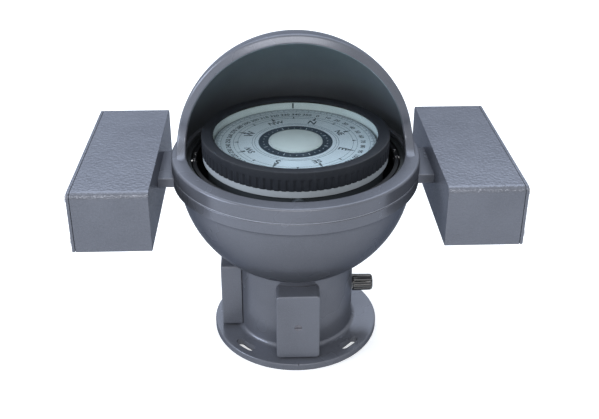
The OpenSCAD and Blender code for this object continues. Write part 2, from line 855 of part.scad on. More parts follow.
// The hollow fillets in front of the lip's two feet
module foot_fillets() {
    intersection() {
        both_sides() translate([0, -leg_fillet, hood_z1 - 0.5]) difference() {
            cube([dome_r, leg_fillet + 0.5, leg_fillet + 0.5]);
            translate([-1, 0, leg_fillet + 0.5]) rotate([0, 90, 0]) cylinder(h = dome_r + 2, r = leg_fillet);
        }
        washer(dome_r - lip_w, dome_r, hood_z1 - 0.5, hood_z1 + leg_fillet);
    }
}

// The hollow fillet around the dome's foot
module dome_root() {
    rotate_extrude(angle = 180) difference() {
        band2d(dome_r - 1, dome_r + root_fillet, hood_z1 - 0.5, hood_z1 + root_fillet);
        translate([dome_r + root_fillet, hood_z1 + root_fillet]) circle(root_fillet, $fn = 48);
    }
}

module hood() {
    color("#8f93a6") union() {
        dome_shell();
        opening_lip();
        hood_ring();
        foot_fillets();
        dome_root();
    }
}

module outer_pivot_screws() {
    color("#d4d6da") both_sides() difference() {
        union() {
            rod_x(gimbal_bore_r + 0.3, rim_bore_r + 0.5, pivot_r, 0, gimbal_z);
            rod_x(rim_bore_r + 0.2, rim_out_r - 0.2, pivot_thread_r, 0, gimbal_z);
        }
        translate([rim_out_r - 0.2, 0, gimbal_z]) cube([2, 8, 1], center = true);
    }
}

module gimbal_ring() {
    color("#202327") difference() {
        washer(gimbal_bore_r, gimbal_r, gimbal_z - gimbal_h / 2, gimbal_z + gimbal_h / 2);
        both_sides() rod_x(gimbal_bore_r - 3, gimbal_r + 3, pivot_bore_r, 0, gimbal_z);
        for (a = [90, 270]) rotate([0, 0, a]) rod_x(gimbal_bore_r - 3, gimbal_r + 3, pivot_plug_r + thread_gap, 0, gimbal_z);
        for (a = lock_angles) rotate([0, 0, a]) translate([gimbal_mid_r, 0, gimbal_z])
            cylinder(h = gimbal_h, r = lock_screw_r / 2 + thread_gap, $fn = 32);
    }
}

// Small cheese-head screws in the ring's top, beside the outer pivots
module pivot_lock_screws() {
    z1 = gimbal_z + gimbal_h / 2;
    color("#d4d6da") for (a = lock_angles) rotate([0, 0, a]) translate([gimbal_mid_r, 0, 0]) difference() {
        union() {
            translate([0, 0, gimbal_z + 0.5]) cylinder(h = z1 - gimbal_z, r = lock_screw_r / 2, $fn = 32);
            translate([0, 0, z1]) cylinder(h = lock_screw_head_h, r = lock_screw_r, $fn = 32);
        }
        translate([0, 0, z1 + lock_screw_head_h]) cube([3 * lock_screw_r, 0.4, lock_screw_head_h], center = true);
    }
}

module inner_pivot_screws() {
    color("#d4d6da") for (a = [90, 270]) rotate([0, 0, a]) difference() {
        union() {
            rod_x(bowl_r + 1, gimbal_bore_r + 0.5, pivot_r, 0, gimbal_z);
            rod_x(gimbal_bore_r + 0.2, gimbal_r + 0.3, pivot_plug_r, 0, gimbal_z);
        }
        translate([gimbal_r + 0.3, 0, gimbal_z]) cube([1.6, 8, 1], center = true);
    }
}

module bowl_body() {
    color("#cfccb9") difference() {
        union() {
            rotate_extrude() difference() {
                union() {
                    band2d(0, bowl_r, shoulder_z, bowl_z1);
                    band2d(0, ledge_r, ledge_z0, ledge_z1);
                    polygon([[0, bowl_floor_z0], [tail_r, bowl_floor_z0], [bowl_r, shoulder_z], [0, shoulder_z]]);
                    band2d(0, tail_r, tail_z0, bowl_floor_z0 + 1);
                }
                band2d(0, bowl_bore_r, shoulder_z, bowl_z1 + 1);
                band2d(lower_glass_r + clamp_w, bowl_bore_r - clamp_w, bowl_floor_z1, shoulder_z + 1);
                band2d(0, lower_glass_r + 0.2, lower_glass_z0, shoulder_z + 1);
                band2d(0, lower_glass_r - clamp_w, tail_z0 - 1, bowl_floor_z1);
                band2d(0, tail_r - tail_wall, tail_z0 - 1, bowl_floor_z0);
            }
            for (a = [90, 270]) rotate([0, 0, a]) rod_x(bowl_r - 1, bowl_r + boss_reach, boss_r, 0, gimbal_z);
        }
        for (a = [90, 270]) rotate([0, 0, a]) rod_x(bowl_r + 0.5, bowl_r + boss_reach + 1, pivot_bore_r, 0, gimbal_z);
        rotate([0, 0, 40]) rod_x(bowl_bore_r - 2, bowl_r + 2, 3, 0, gimbal_z - filler_drop);
    }
}

module bezel_ring() {
    grip_z1 = bezel_z1 - bezel_band_h;
    core_r = bezel_r - flute_depth - 0.2;
    color("#1c1e22") difference() {
        union() {
            translate([0, 0, ledge_z1]) linear_extrude(grip_z1 - ledge_z1) difference() {
                circle(bezel_r, $fn = 180);
                for (i = [0:bezel_flutes - 1]) rotate(i * 360 / bezel_flutes)
                    translate([bezel_r + flute_r - flute_depth, 0]) circle(flute_r, $fn = 24);
            }
            rotate_extrude() polygon([[0, ledge_z1 + 1], [core_r, ledge_z1 + 1], [core_r, grip_z1],
                [bezel_r, grip_z1], [bezel_r, bezel_z1 - 1], [bezel_r - 1, bezel_z1], [0, bezel_z1]]);
        }
        rotate_extrude() polygon([[0, ledge_z1 - 1], [bowl_r + bezel_fit, ledge_z1 - 1], [bowl_r + bezel_fit, glass_z1],
            [window_r, glass_z1], [window_r, glass_z1 + 0.6], [window_r + 1.4, bezel_z1 + 0.01], [0, bezel_z1 + 0.01]]);
    }
}

module top_glass() {
    color("#dfeeee") translate([0, 0, glass_z0]) cylinder(h = glass_t, r = glass_r);
}

module top_gasket() {
    color("#2b2b2b") washer(bowl_bore_r + 0.4, glass_r, bowl_z1, glass_z0);
}

module lubber_line() {
    color("#16181c") intersection() {
        washer(bowl_bore_r - 0.9, bowl_bore_r, card_z1 + 0.6, bowl_z1 - 0.4);
        translate([-0.7, 0, 0]) cube([1.4, far, far]);
    }
}

module filler_plug() {
    color("#c9a655") rotate([0, 0, 40]) difference() {
        union() {
            rod_x(bowl_bore_r + 0.2, bowl_r + 0.5, 2.95, 0, gimbal_z - filler_drop);
            rod_x(bowl_r + 0.05, bowl_r + 2.6, 4.5, 0, gimbal_z - filler_drop);
        }
        translate([bowl_r + 2.6, 0, gimbal_z - filler_drop]) cube([2, 12, 1.2], center = true);
    }
}

module lower_glass() {
    color("#eef4ea") translate([0, 0, lower_glass_z0]) cylinder(h = lower_glass_t, r = lower_glass_r);
}

module lower_glass_ring() {
    color("#c9a655") washer(lower_glass_r - 3, lower_glass_r + 0.15,
        lower_glass_z0 + lower_glass_t, bowl_floor_z1);
}

// A thin ring with three raised waves, clamped along its inner and outer edges
module diaphragm() {
    r0 = lower_glass_r + 0.6;
    r1 = bowl_bore_r - 0.3;
    wave = (r1 - r0 - 6) / 6;
    base = [for (i = [0:6]) [r0 + 3 + i * wave, shoulder_z + (i % 2) * 2]];
    color("#c99d5a") rotate_extrude() polygon(concat(
        [[r0, shoulder_z]], base, [[r1, shoulder_z], [r1, shoulder_z + membrane_t]],
        [for (i = [6:-1:0]) [base[i][0], base[i][1] + membrane_t]], [[r0, shoulder_z + membrane_t]]));
}

module ballast_ring() {
    color("#6d6f73") washer(tail_r - ballast_w, tail_r, tail_z0 - ballast_h, tail_z0);
}

// Three arms from a foot ring to the hub that holds the pivot pin
module pivot_bridge() {
    foot_r0 = lower_glass_r + 0.8;
    foot_r1 = foot_r0 + 2.4;
    color("#c9a655") difference() {
        union() {
            translate([0, 0, bridge_z0]) linear_extrude(bridge_t) union() {
                difference() {
                    circle(foot_r1);
                    circle(foot_r0);
                }
                for (a = [90, 210, 330]) rotate(a) translate([0, -3]) square([foot_r0 + 1, 6]);
            }
            translate([0, 0, bridge_z0 - 0.5]) cylinder(h = hub_h + 0.5, r = hub_r, $fn = 48);
        }
        translate([0, 0, bridge_z0 + 1]) cylinder(h = hub_h, r = pin_r, $fn = 32);
    }
}

module pivot_pin() {
    tip_h = 3;
    z0 = bridge_z0 + 1.2;
    color("#d4d6da") union() {
        translate([0, 0, z0]) cylinder(h = pin_tip_z - tip_h - z0, r = pin_r - 0.02, $fn = 32);
        translate([0, 0, pin_tip_z - tip_h]) cylinder(h = tip_h, r1 = pin_r - 0.02, r2 = 0.2, $fn = 32);
    }
}

module compass_card() {
    color("#dfe6f0") washer(card_dome_r - 1.5, card_r, card_z0, card_z1);
}

// A shallow lens drawn as three cones
module card_dome() {
    z0 = card_z1 + seat_gap;
    color("#cdd3cf") rotate_extrude() polygon([[0, z0], [card_dome_r, z0],
        [card_dome_r, z0 + card_dome_h * 0.3], [card_dome_r * 0.8, z0 + card_dome_h * 0.7],
        [card_dome_r * 0.4, z0 + card_dome_h * 0.93], [0, z0 + card_dome_h]]);
}

// A sealed hollow drum with a central well for the jewelled cap
module card_float() {
    wall = 0.8;
    color("#d8d2c2") rotate_extrude() difference() {
        band2d(cap_r + 0.05, float_r, float_z0, card_z0 - 0.02);
        band2d(cap_r + 0.05 + wall, float_r - wall, float_z0 + wall, card_z0 - wall);
    }
}

module card_cap() {
    color("#b3404a") rotate_extrude() polygon([[pin_r + 1.6, cap_z0], [cap_r, cap_z0], [cap_r, card_z0 + card_t],
        [0, card_z0 + card_t], [0, pin_tip_z + 0.3]]);
}

module card_magnets() {
    color("#4a4d55") for (s = [-1, 1])
        translate([s * card_magnet_x - card_magnet_w / 2, -card_magnet_l / 2, float_z0 - card_magnet_w])
            cube([card_magnet_w, card_magnet_l, card_magnet_w]);
}

pedestal();
housing();
rim_gasket();
housing_screws();
arm_left();
arm_right();
arm_screws();
box_screws();
corrector_cover_left();
corrector_cover_right();
corrector_base_left();
corrector_base_right();
end_plate_left();
end_plate_right();
end_plate_screws();
soft_iron_left();
soft_iron_right();
clamp_bolts_left();
clamp_bolts_right();
front_cover();
side_cover();
magnet_cover_screws();
fore_magnet_tubes();
side_magnet_tubes();
fore_magnets();
side_magnets();
heeling_tube();
heeling_carrier();
heeling_magnet();
lamp_board();
lamp_lens();
lamp_lead();
dimmer_knob();
dimmer_shaft();
dimmer_body();
dimmer_nut();
hood();
outer_pivot_screws();
gimbal_ring();
inner_pivot_screws();
pivot_lock_screws();
bowl_body();
bezel_ring();
top_glass();
top_gasket();
lubber_line();
filler_plug();
lower_glass();
lower_glass_ring();
diaphragm();
ballast_ring();
pivot_bridge();
pivot_pin();
compass_card();
card_dome();
card_float();
card_cap();
card_magnets();
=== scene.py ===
"""Dresses the marine compass: its castings, sheet boxes, liquid bowl, printed card, lamps and camera."""

import logging
import math
from dataclasses import dataclass, field
from enum import Enum
from typing import Callable, Iterable, Sequence

import bmesh
import bpy
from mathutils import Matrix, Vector


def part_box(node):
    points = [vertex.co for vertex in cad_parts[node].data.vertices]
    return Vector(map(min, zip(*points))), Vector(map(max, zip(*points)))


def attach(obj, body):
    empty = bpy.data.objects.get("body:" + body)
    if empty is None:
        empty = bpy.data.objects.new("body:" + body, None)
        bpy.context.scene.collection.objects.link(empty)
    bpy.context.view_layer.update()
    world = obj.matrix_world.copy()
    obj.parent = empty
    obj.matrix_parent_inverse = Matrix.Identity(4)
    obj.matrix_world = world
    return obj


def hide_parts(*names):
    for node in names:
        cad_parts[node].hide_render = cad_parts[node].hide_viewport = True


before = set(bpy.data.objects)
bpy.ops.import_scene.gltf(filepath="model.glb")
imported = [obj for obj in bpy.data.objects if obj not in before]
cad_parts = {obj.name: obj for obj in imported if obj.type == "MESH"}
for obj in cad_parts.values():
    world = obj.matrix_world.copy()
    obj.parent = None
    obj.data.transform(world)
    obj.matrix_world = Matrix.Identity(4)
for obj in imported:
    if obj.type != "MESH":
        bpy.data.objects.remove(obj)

LOG = logging.getLogger("marine_compass")

MM = 0.001
TURN = 2 * math.pi
QUARTER = math.pi / 2

Point = tuple[float, float]
Colour = tuple[float, float, float]
Place = tuple[float, float, float]

WHITE = (1.0, 1.0, 1.0)


class Axis(Enum):
    """The axis that a profile is turned about or drawn along."""

    X = "x"
    Y = "y"
    Z = "z"

    def place(self, radius: float, height: float, angle: float) -> Vector:
        """Puts a profile point into space.

        Args:
            radius: Distance from this axis.
            height: Distance along this axis.
            angle: Turn about this axis, in radians.

        Returns:
            The point, in the units of radius and height.
        """
        return self.lay(radius * math.cos(angle), radius * math.sin(angle), height)

    def lay(self, first: float, second: float, height: float) -> Vector:
        """Puts a point of an outline into space.

        Args:
            first: Distance along the first of the two other axes.
            second: Distance along the second of them.
            height: Distance along this axis.

        Returns:
            The point, in the same units.
        """
        if self is Axis.X:
            return Vector((height, first, second))
        if self is Axis.Y:
            return Vector((first, height, second))
        return Vector((first, second, height))


class Side(Enum):
    """Which side of the compass a piece is on, with the sign of its X."""

    LEFT = -1
    RIGHT = 1

    @property
    def word(self) -> str:
        """The side's name as the pieces spell it."""
        return self.name.lower()


class Facing(Enum):
    """The way that a magnet cover faces, with its CAD node and its turn from +X."""

    FRONT = ("front_cover", -QUARTER)
    LEFT = ("side_cover", math.pi)

    @property
    def node(self) -> str:
        """The cover's CAD node."""
        return self.value[0]

    @property
    def turn(self) -> float:
        """Its turn from +X, in radians."""
        return self.value[1]


@dataclass(frozen=True)
class Corner:
    """One corner of a profile, in millimetres, with the radius that rounds it."""

    across: float
    along: float
    rounding: float = 0.0


def rounded(corners: Sequence[Corner], closed: bool = True, steps: int = 5) -> list[Point]:
    """Draws an outline with its corners rounded.

    Args:
        corners: The outline's corners in order.
        closed: Whether the last corner joins the first.
        steps: Straight stretches in each rounding.

    Returns:
        The outline's points.
    """
    outline: list[Point] = []
    count = len(corners)
    for index, corner in enumerate(corners):
        here = Vector((corner.across, corner.along))
        ends = not closed and index in (0, count - 1)
        if corner.rounding <= 0 or ends:
            outline.append(tuple(here))
            continue
        before = corners[index - 1]
        after = corners[(index + 1) % count]
        inward = (Vector((before.across, before.along)) - here).normalized()
        outward = (Vector((after.across, after.along)) - here).normalized()
        half = inward.angle(outward) / 2
        reach = corner.rounding / math.tan(half)
        middle = here + (inward + outward).normalized() * (corner.rounding / math.sin(half))
        start = here + inward * reach - middle
        end = here + outward * reach - middle
        first = math.atan2(start.y, start.x)
        turn = math.remainder(math.atan2(end.y, end.x) - first, TURN)
        outline.extend(arc(corner.rounding, first, first + turn, steps, tuple(middle)))
    return outline


def arc(radius: float, start: float, end: float, steps: int, centre: Point = (0.0, 0.0)) -> list[Point]:
    """Draws part of a circle.

    Args:
        radius: The circle's radius.
        start: First angle, in radians from the across axis.
        end: Last angle, in radians.
        steps: Number of straight stretches.
        centre: The circle's centre.

    Returns:
        The arc's points, both ends among them.
    """
    angles = [start + (end - start) * step / steps for step in range(steps + 1)]
    return [(centre[0] + radius * math.cos(a), centre[1] + radius * math.sin(a)) for a in angles]


def inset(outline: Sequence[Point], distance: float) -> list[Point]:
    """Draws a closed outline smaller by the same distance all round.

    Args:
        outline: The outline, counterclockwise.
        distance: How far each side moves in.

    Returns:
        The smaller outline's points, one for each given point.
    """
    result = []
    count = len(outline)
    for index, point in enumerate(outline):
        here = Vector(point)
        before = (here - Vector(outline[index - 1])).normalized()
        after = (Vector(outline[(index + 1) % count]) - here).normalized()
        normal = Vector((-before.y - after.y, before.x + after.x)).normalized()
        slant = max(0.2, normal.dot(Vector((-after.y, after.x))))
        result.append(tuple(here + normal * (distance / slant)))
    return result


def rectangle(low: Point, high: Point) -> list[Point]:
    """Draws a rectangle, counterclockwise from its low corner."""
    return [low, (high[0], low[1]), high, (low[0], high[1])]


def rounded_box(low: Point, high: Point, roundings: Sequence[float], steps: int = 5) -> list[Point]:
    """Draws a rectangle with rounded corners.

    Args:
        low: Its low corner.
        high: Its high corner.
        roundings: The corners' radii, counterclockwise from the low corner.
        steps: Straight stretches in each rounding.

    Returns:
        The outline's points.
    """
    corners = [Corner(*point, rounding) for point, rounding in zip(rectangle(low, high), roundings)]
    return rounded(corners, steps=steps)


class Form:
    """Collects the vertices and faces of one piece, in millimetres."""

    def __init__(self) -> None:
        """Starts with no faces."""
        self.points: list[Vector] = []
        self.faces: list[tuple[int, ...]] = []
        self.marks: list[int] = []

    def loft(self, rows: Sequence[Sequence[Vector]], closed_rows: bool = False, caps: bool = False,
             mark_of: Callable[[Vector], int] | None = None) -> "Form":
        """Spans quads between rings of points.

        Args:
            rows: Rings with the same number of points.
            closed_rows: Whether the last row joins the first row.
            caps: Whether the first and last rows are closed with a face.
            mark_of: Gives a face's material index from its middle.

        Returns:
            This form.
        """
        base = len(self.points)
        width = len(rows[0])
        for row in rows:
            self.points.extend(Vector(point) for point in row)
        row_spans = len(rows) if closed_rows else len(rows) - 1
        for row in range(row_spans):
            low = base + row * width
            high = base + ((row + 1) % len(rows)) * width
            for index in range(width):
                other = (index + 1) % width
                self.face((low + index, low + other, high + other, high + index), mark_of)
        if caps:
            self.face(tuple(base + index for index in range(width)), mark_of)
            self.face(tuple(base + (len(rows) - 1) * width + index for index in range(width)), mark_of)
        return self

    def face(self, corners: tuple[int, ...], mark_of: Callable[[Vector], int] | None = None) -> None:
        """Adds one face.

        Args:
            corners: Indices of the face's points.
            mark_of: Gives the face's material index from its middle.
        """
        middle = sum((self.points[index] for index in corners), Vector()) / len(corners)
        self.faces.append(corners)
        self.marks.append(mark_of(middle) if mark_of else 0)

    def revolve(self, outline: Sequence[Point], axis: Axis = Axis.Z, segments: int = 180, start: float = 0.0,
                sweep: float = TURN, mark_of: Callable[[Vector], int] | None = None) -> "Form":
        """Turns a closed outline about an axis.

        Args:
            outline: Distances from the axis and along it.
            axis: The axis.
            segments: Straight stretches in the sweep.
            start: First angle, in radians.
            sweep: Angle swept, in radians.
            mark_of: Gives a face's material index from its middle.

        Returns:
            This form.
        """
        whole = abs(sweep - TURN) < 1e-6
        turns = segments if whole else segments + 1
        angles = [start + sweep * step / segments for step in range(turns)]
        rows = [[axis.place(radius, height, angle) for radius, height in outline] for angle in angles]
        return self.loft(rows, closed_rows=whole, caps=not whole, mark_of=mark_of)

    def extrude(self, outline: Sequence[Point], low: float, high: float, axis: Axis = Axis.X,
                low_round: float = 0.0, high_round: float = 0.0, steps: int = 4) -> "Form":
        """Draws an outline out along an axis, with rounded rims.

        Args:
            outline: Counterclockwise outline: Y and Z for axis X, X and Z for axis Y, X and Y for axis Z.
            low: Where it starts.
            high: Where it ends.
            axis: The axis.
            low_round: Rounding of the rim at the start.
            high_round: Rounding of the rim at the end.
            steps: Straight stretches in each rounding.

        Returns:
            This form.
        """
        stations: list[Point] = []
        for end, rounding, sign in ((low, low_round, 1), (high, high_round, -1)):
            turn = [QUARTER * step / steps for step in range(steps + 1)] if rounding else [QUARTER]
            part = [(end + sign * rounding * (1 - math.cos(a)), rounding * (1 - math.sin(a))) for a in turn]
            stations.extend(part if sign > 0 else reversed(part))
        rows = []
        for height, depth in stations:
            ring = inset(outline, depth) if depth > 0 else outline
            rows.append([axis.lay(*point, height) for point in ring])
        return self.loft(rows, caps=True)

    def flute(self, stations: Sequence[tuple[float, float, float]], count: int, axis: Axis,
              groove: float = 0.5, fineness: int = 10) -> "Form":
        """Turns a closed profile whose radius dips at regular flutes.

        Args:
            stations: Radius, height and flute depth of each point of the closed profile.
            count: Number of flutes.
            axis: The axis.
            groove: Share of the pitch that a flute takes.
            fineness: Points around each flute.

        Returns:
            This form.
        """
        rows = []
        for step in range(count * fineness):
            angle = TURN * step / (count * fineness)
            phase = abs((step % fineness) / fineness - 0.5) * 2 / groove
            dip = max(0.0, 1 - phase * phase)
            rows.append([axis.place(radius - depth * dip, height, angle)
                         for radius, height, depth in stations])
        return self.loft(rows, closed_rows=True)

    def moved(self, offset: Vector) -> "Form":
        """Shifts every point of this form and returns it."""
        self.points = [point + offset for point in self.points]
        return self

    def spun(self, angle: float) -> "Form":
        """Turns this form about the upright axis.

        Args:
            angle: Turn, in radians.

        Returns:
            This form.
        """
        cosine = math.cos(angle)
        sine = math.sin(angle)
        self.points = [Vector((p.x * cosine - p.y * sine, p.x * sine + p.y * cosine, p.z))
                       for p in self.points]
        return self

    def mirrored(self, side: Side) -> "Form":
        """Mirrors a form drawn on the right for the left side, and returns it."""
        self.points = [Vector((p.x * side.value, p.y, p.z)) for p in self.points]
        return self

    def join(self, other: "Form") -> "Form":
        """Adds another form's faces to this one.

        Args:
            other: The form to add.

        Returns:
            This form.
        """
        base = len(self.points)
        self.points.extend(other.points)
        self.faces.extend(tuple(base + index for index in face) for face in other.faces)
        self.marks.extend(other.marks)
        return self

    def mesh(self, name: str) -> bpy.types.Mesh:
        """Makes a Blender mesh, in metres.

        Args:
            name: The mesh's name.

        Returns:
            The mesh, with merged points and outward normals.
        """
        mesh = bpy.data.meshes.new(name)
        mesh.from_pydata([point * MM for point in self.points], [], self.faces)
        mesh.polygons.foreach_set("material_index", self.marks)
        work = bmesh.new()
        work.from_mesh(mesh)
        bmesh.ops.remove_doubles(work, verts=work.verts, dist=2e-6)
        bmesh.ops.dissolve_degenerate(work, edges=work.edges, dist=1e-6)
        bmesh.ops.recalc_face_normals(work, faces=work.faces)
        work.to_mesh(mesh)
        work.free()
        return mesh


class Signal:
    """A number in a shader tree that takes Python's operators."""

    def __init__(self, tree: "ShaderTree", source: bpy.types.NodeSocket) -> None:
        """Wraps a socket.

        Args:
            tree: The tree that holds the socket.
            source: The output socket that gives the number.
        """
        self.tree = tree
        self.source = source

    def _math(self, operation: str, first: "Signal | float", second: "Signal | float") -> "Signal":
        """Adds a Math node.

        Args:
            operation: The Math node's operation.
            first: First input.
            second: Second input.

        Returns:
            The node's output.
        """
        made = self.tree.node("ShaderNodeMath", {"operation": operation}, {0: first, 1: second})
        return Signal(self.tree, made.outputs[0])

    def __add__(self, other: "Signal | float") -> "Signal":
        """Sum."""
        return self._math("ADD", self, other)

    def __radd__(self, other: float) -> "Signal":
        """Sum with a number in front."""
        return self._math("ADD", other, self)

    def __sub__(self, other: "Signal | float") -> "Signal":
        """Difference."""
        return self._math("SUBTRACT", self, other)

    def __rsub__(self, other: float) -> "Signal":
        """Difference from a number."""
        return self._math("SUBTRACT", other, self)

    def __mul__(self, other: "Signal | float") -> "Signal":
        """Product."""
        return self._math("MULTIPLY", self, other)

    def __rmul__(self, other: float) -> "Signal":
        """Product with a number in front."""
        return self._math("MULTIPLY", other, self)

    def larger(self, other: "Signal | float") -> "Signal":
        """The larger of this and another number."""
        return self._math("MAXIMUM", self, other)

    def ramp(self, low: float, high: float) -> "Signal":
        """Rises smoothly from 0 to 1.

        Args:
            low: Where it leaves 0.
            high: Where it reaches 1.

        Returns:
            The smooth step.
        """
        settings = {"interpolation_type": "SMOOTHSTEP"}
        inputs = {"Value": self, "From Min": low, "From Max": high}
        made = self.tree.node("ShaderNodeMapRange", settings, inputs)
        return Signal(self.tree, made.outputs["Result"])


class ShaderTree:
    """The node tree of a material or a world under construction."""

    def __init__(self, owner: bpy.types.Material | bpy.types.World) -> None:
        """Empties the owner's tree and gives it an output.

        Args:
            owner: The material or world.
        """
        owner.use_nodes = True
        self.nodes = owner.node_tree.nodes
        self.links = owner.node_tree.links
        self.nodes.clear()
        kind = "World" if isinstance(owner, bpy.types.World) else "Material"
        self.output = self.node(f"ShaderNodeOutput{kind}")

    def node(self, kind: str, settings: dict | None = None, inputs: dict | None = None) -> bpy.types.Node:
        """Adds any node.

        Args:
            kind: The node's type.
            settings: The node's own settings, set first.
            inputs: Values or links for its sockets, by name or index.

        Returns:
            The node.
        """
        made = self.nodes.new(kind)
        for name, value in (settings or {}).items():
            setattr(made, name, value)
        for name, value in (inputs or {}).items():
            self.feed(made.inputs[name], value)
        return made

    def feed(self, socket: bpy.types.NodeSocket, value: object) -> None:
        """Gives a socket a link or a value.

        Args:
            socket: The input socket.
            value: A signal, an output socket, a colour, a vector or a number.
        """
        if isinstance(value, Signal):
            self.links.new(value.source, socket)
        elif isinstance(value, bpy.types.NodeSocket):
            self.links.new(value, socket)
        elif isinstance(value, tuple) and socket.type == "RGBA":
            socket.default_value = (*value, 1.0)
        else:
            socket.default_value = value

    def principled(self, **values: object) -> bpy.types.NodeSocket:
        """Adds a Principled shader.

        Args:
            **values: What its sockets get, with spaces in their names written as underscores.

        Returns:
            The shader's output.
        """
        sockets = {}
        for name, value in values.items():
            sockets[name.replace("_", " ").title().replace("Ior", "IOR")] = value
        return self.node("ShaderNodeBsdfPrincipled", None, sockets).outputs[0]

    def mixed(self, share: Signal, first: bpy.types.NodeSocket,
              second: bpy.types.NodeSocket) -> bpy.types.NodeSocket:
        """Mixes two shaders.

        Args:
            share: 0 gives the first shader and 1 the second.
            first: A shader.
            second: A shader.

        Returns:
            The mixed shader.
        """
        return self.node("ShaderNodeMixShader", None, {0: share, 1: first, 2: second}).outputs[0]

    def ray(self, kind: str) -> Signal:
        """Gives 1 for rays of a kind, named as on the Light Path node, and 0 for others."""
        return Signal(self, self.node("ShaderNodeLightPath").outputs[kind])

    def seen(self) -> Signal:
        """Gives 1 where the camera, a reflection or glass shows the surface, and 0 where it lights others."""
        reflected = self.ray("Is Glossy Ray").larger(self.ray("Is Transmission Ray"))
        return self.ray("Is Camera Ray").larger(reflected)

    def show(self, shader: bpy.types.NodeSocket) -> None:
        """Gives the output its shader."""
        self.links.new(shader, self.output.inputs["Surface"])

    def surface(self, **values: object) -> None:
        """Shows a Principled shader with the given values."""
        self.show(self.principled(**values))

    def place(self, stretch: Place = (1.0, 1.0, 1.0)) -> bpy.types.NodeSocket:
        """Gives the surface point in the object's own frame.

        Args:
            stretch: Factor along each axis, for grain that is longer one way.

        Returns:
            A vector in millimetres times the stretch.
        """
        source = self.node("ShaderNodeTexCoord").outputs["Object"]
        scale = Vector(stretch) / MM
        return self.node("ShaderNodeVectorMath", {"operation": "MULTIPLY"}, {0: source, 1: scale}).outputs[0]

    def parts(self) -> tuple[Signal, Signal, Signal]:
        """Gives the surface point's X, Y and Z in millimetres."""
        split = self.node("ShaderNodeSeparateXYZ", None, {0: self.place()})
        return tuple(Signal(self, socket) for socket in split.outputs)

    def noise(self, scale: float, detail: float = 2.0, stretch: Place = (1.0, 1.0, 1.0)) -> Signal:
        """Gives soft noise from 0 to 1.

        Args:
            scale: Features in each millimetre.
            detail: Octaves.
            stretch: Factor along each axis.

        Returns:
            The noise.
        """
        inputs = {"Vector": self.place(stretch), "Scale": scale, "Detail": detail}
        return Signal(self, self.node("ShaderNodeTexNoise", None, inputs).outputs[0])

    def cells(self, scale: float) -> Signal:
        """Gives a random value from 0 to 1 in each small cell.

        Args:
            scale: Cells in each millimetre.

        Returns:
            The cell value.
        """
        made = self.node("ShaderNodeTexVoronoi", None, {"Vector": self.place(), "Scale": scale})
        split = self.node("ShaderNodeSeparateColor", None, {0: made.outputs["Color"]})
        return Signal(self, split.outputs[0])

    def blend(self, share: Signal | float, first: object, second: object) -> bpy.types.NodeSocket:
        """Mixes two colours.

        Args:
            share: 0 gives the first colour and 1 the second.
            first: A colour or a colour socket.
            second: A colour or a colour socket.

        Returns:
            The mixed colour.
        """
        made = self.node("ShaderNodeMix", {"data_type": "RGBA"}, {0: share, 6: first, 7: second})
        return made.outputs[2]

    def bump(self, height: Signal, depth: float) -> bpy.types.NodeSocket:
        """Turns a height into a normal.

        Args:
            height: The height.
            depth: What a height of 1 stands for, in millimetres.

        Returns:
            The normal.
        """
        inputs = {"Height": height, "Distance": depth * MM, "Strength": 1.0}
        return self.node("ShaderNodeBump", None, inputs).outputs[0]


@dataclass(frozen=True)
class Finish:
    """A surface finish that makes its material on first use."""

    name: str

    def material(self) -> bpy.types.Material:
        """Finds or makes the finish's material.

        Returns:
            The material.
        """
        known = bpy.data.materials.get(self.name)
        if known is not None:
            return known
        made = bpy.data.materials.new(self.name)
        self.paint(ShaderTree(made))
        return made

    def paint(self, tree: ShaderTree) -> None:
        """Sets up the shader; each kind of finish has its own."""
        raise NotImplementedError


@dataclass(frozen=True)
class FlakeEnamel(Finish):
    """Grey stoving enamel with a violet tinge, fine metal flake and, on sheet, orange peel."""

    colour: Colour = (0.177, 0.186, 0.214)
    roughness: float = 0.23
    ripple_mm: float = 0.0
    ripple_per_mm: float = 0.45
    grain_mm: float = 0.015
    flake_per_mm: float = 3.2
    metallic: float = 0.38
    edge_tint: Colour = (0.26, 0.28, 0.32)

    def paint(self, tree: ShaderTree) -> None:
        """Mixes the enamel's body, flake and texture.

        Args:
            tree: The material's tree.
        """
        dark = tuple(value * 0.86 for value in self.colour)
        light = tuple(value * 1.16 for value in self.colour)
        drift = tree.noise(0.02, 3.0)
        flake = tree.cells(self.flake_per_mm)
        body = tree.blend(drift.ramp(0.3, 0.7), dark, self.colour)
        coat = tree.blend(flake.ramp(0.35, 1.0) * 0.55, body, light)
        height = tree.noise(0.9, 2.0) * self.grain_mm
        if self.ripple_mm > 0:
            height = height + tree.noise(self.ripple_per_mm, 1.5, (1.0, 1.0, 2.2)) * self.ripple_mm
        tree.surface(base_color=coat, metallic=self.metallic, roughness=self.roughness + drift * 0.08,
                     specular_ior_level=0.0, specular_tint=self.edge_tint, normal=tree.bump(height, 1.0))


@dataclass(frozen=True)
class PlainPaint(Finish):
    """Brushed or sprayed paint with slight unevenness."""

    colour: Colour = (0.5, 0.5, 0.5)
    roughness: float = 0.5
    unevenness: float = 0.1
    grain_mm: float = 0.02

    def paint(self, tree: ShaderTree) -> None:
        """Mixes the paint's colour, sheen and grain.

        Args:
            tree: The material's tree.
        """
        dark = tuple(value * (1 - 2 * self.unevenness) for value in self.colour)
        cloud = tree.noise(0.05, 4.0)
        tree.surface(base_color=tree.blend(cloud.ramp(0.3, 0.75), dark, self.colour),
                     roughness=self.roughness + cloud * 0.1 - 0.05,
                     normal=tree.bump(tree.noise(1.4, 3.0), self.grain_mm))


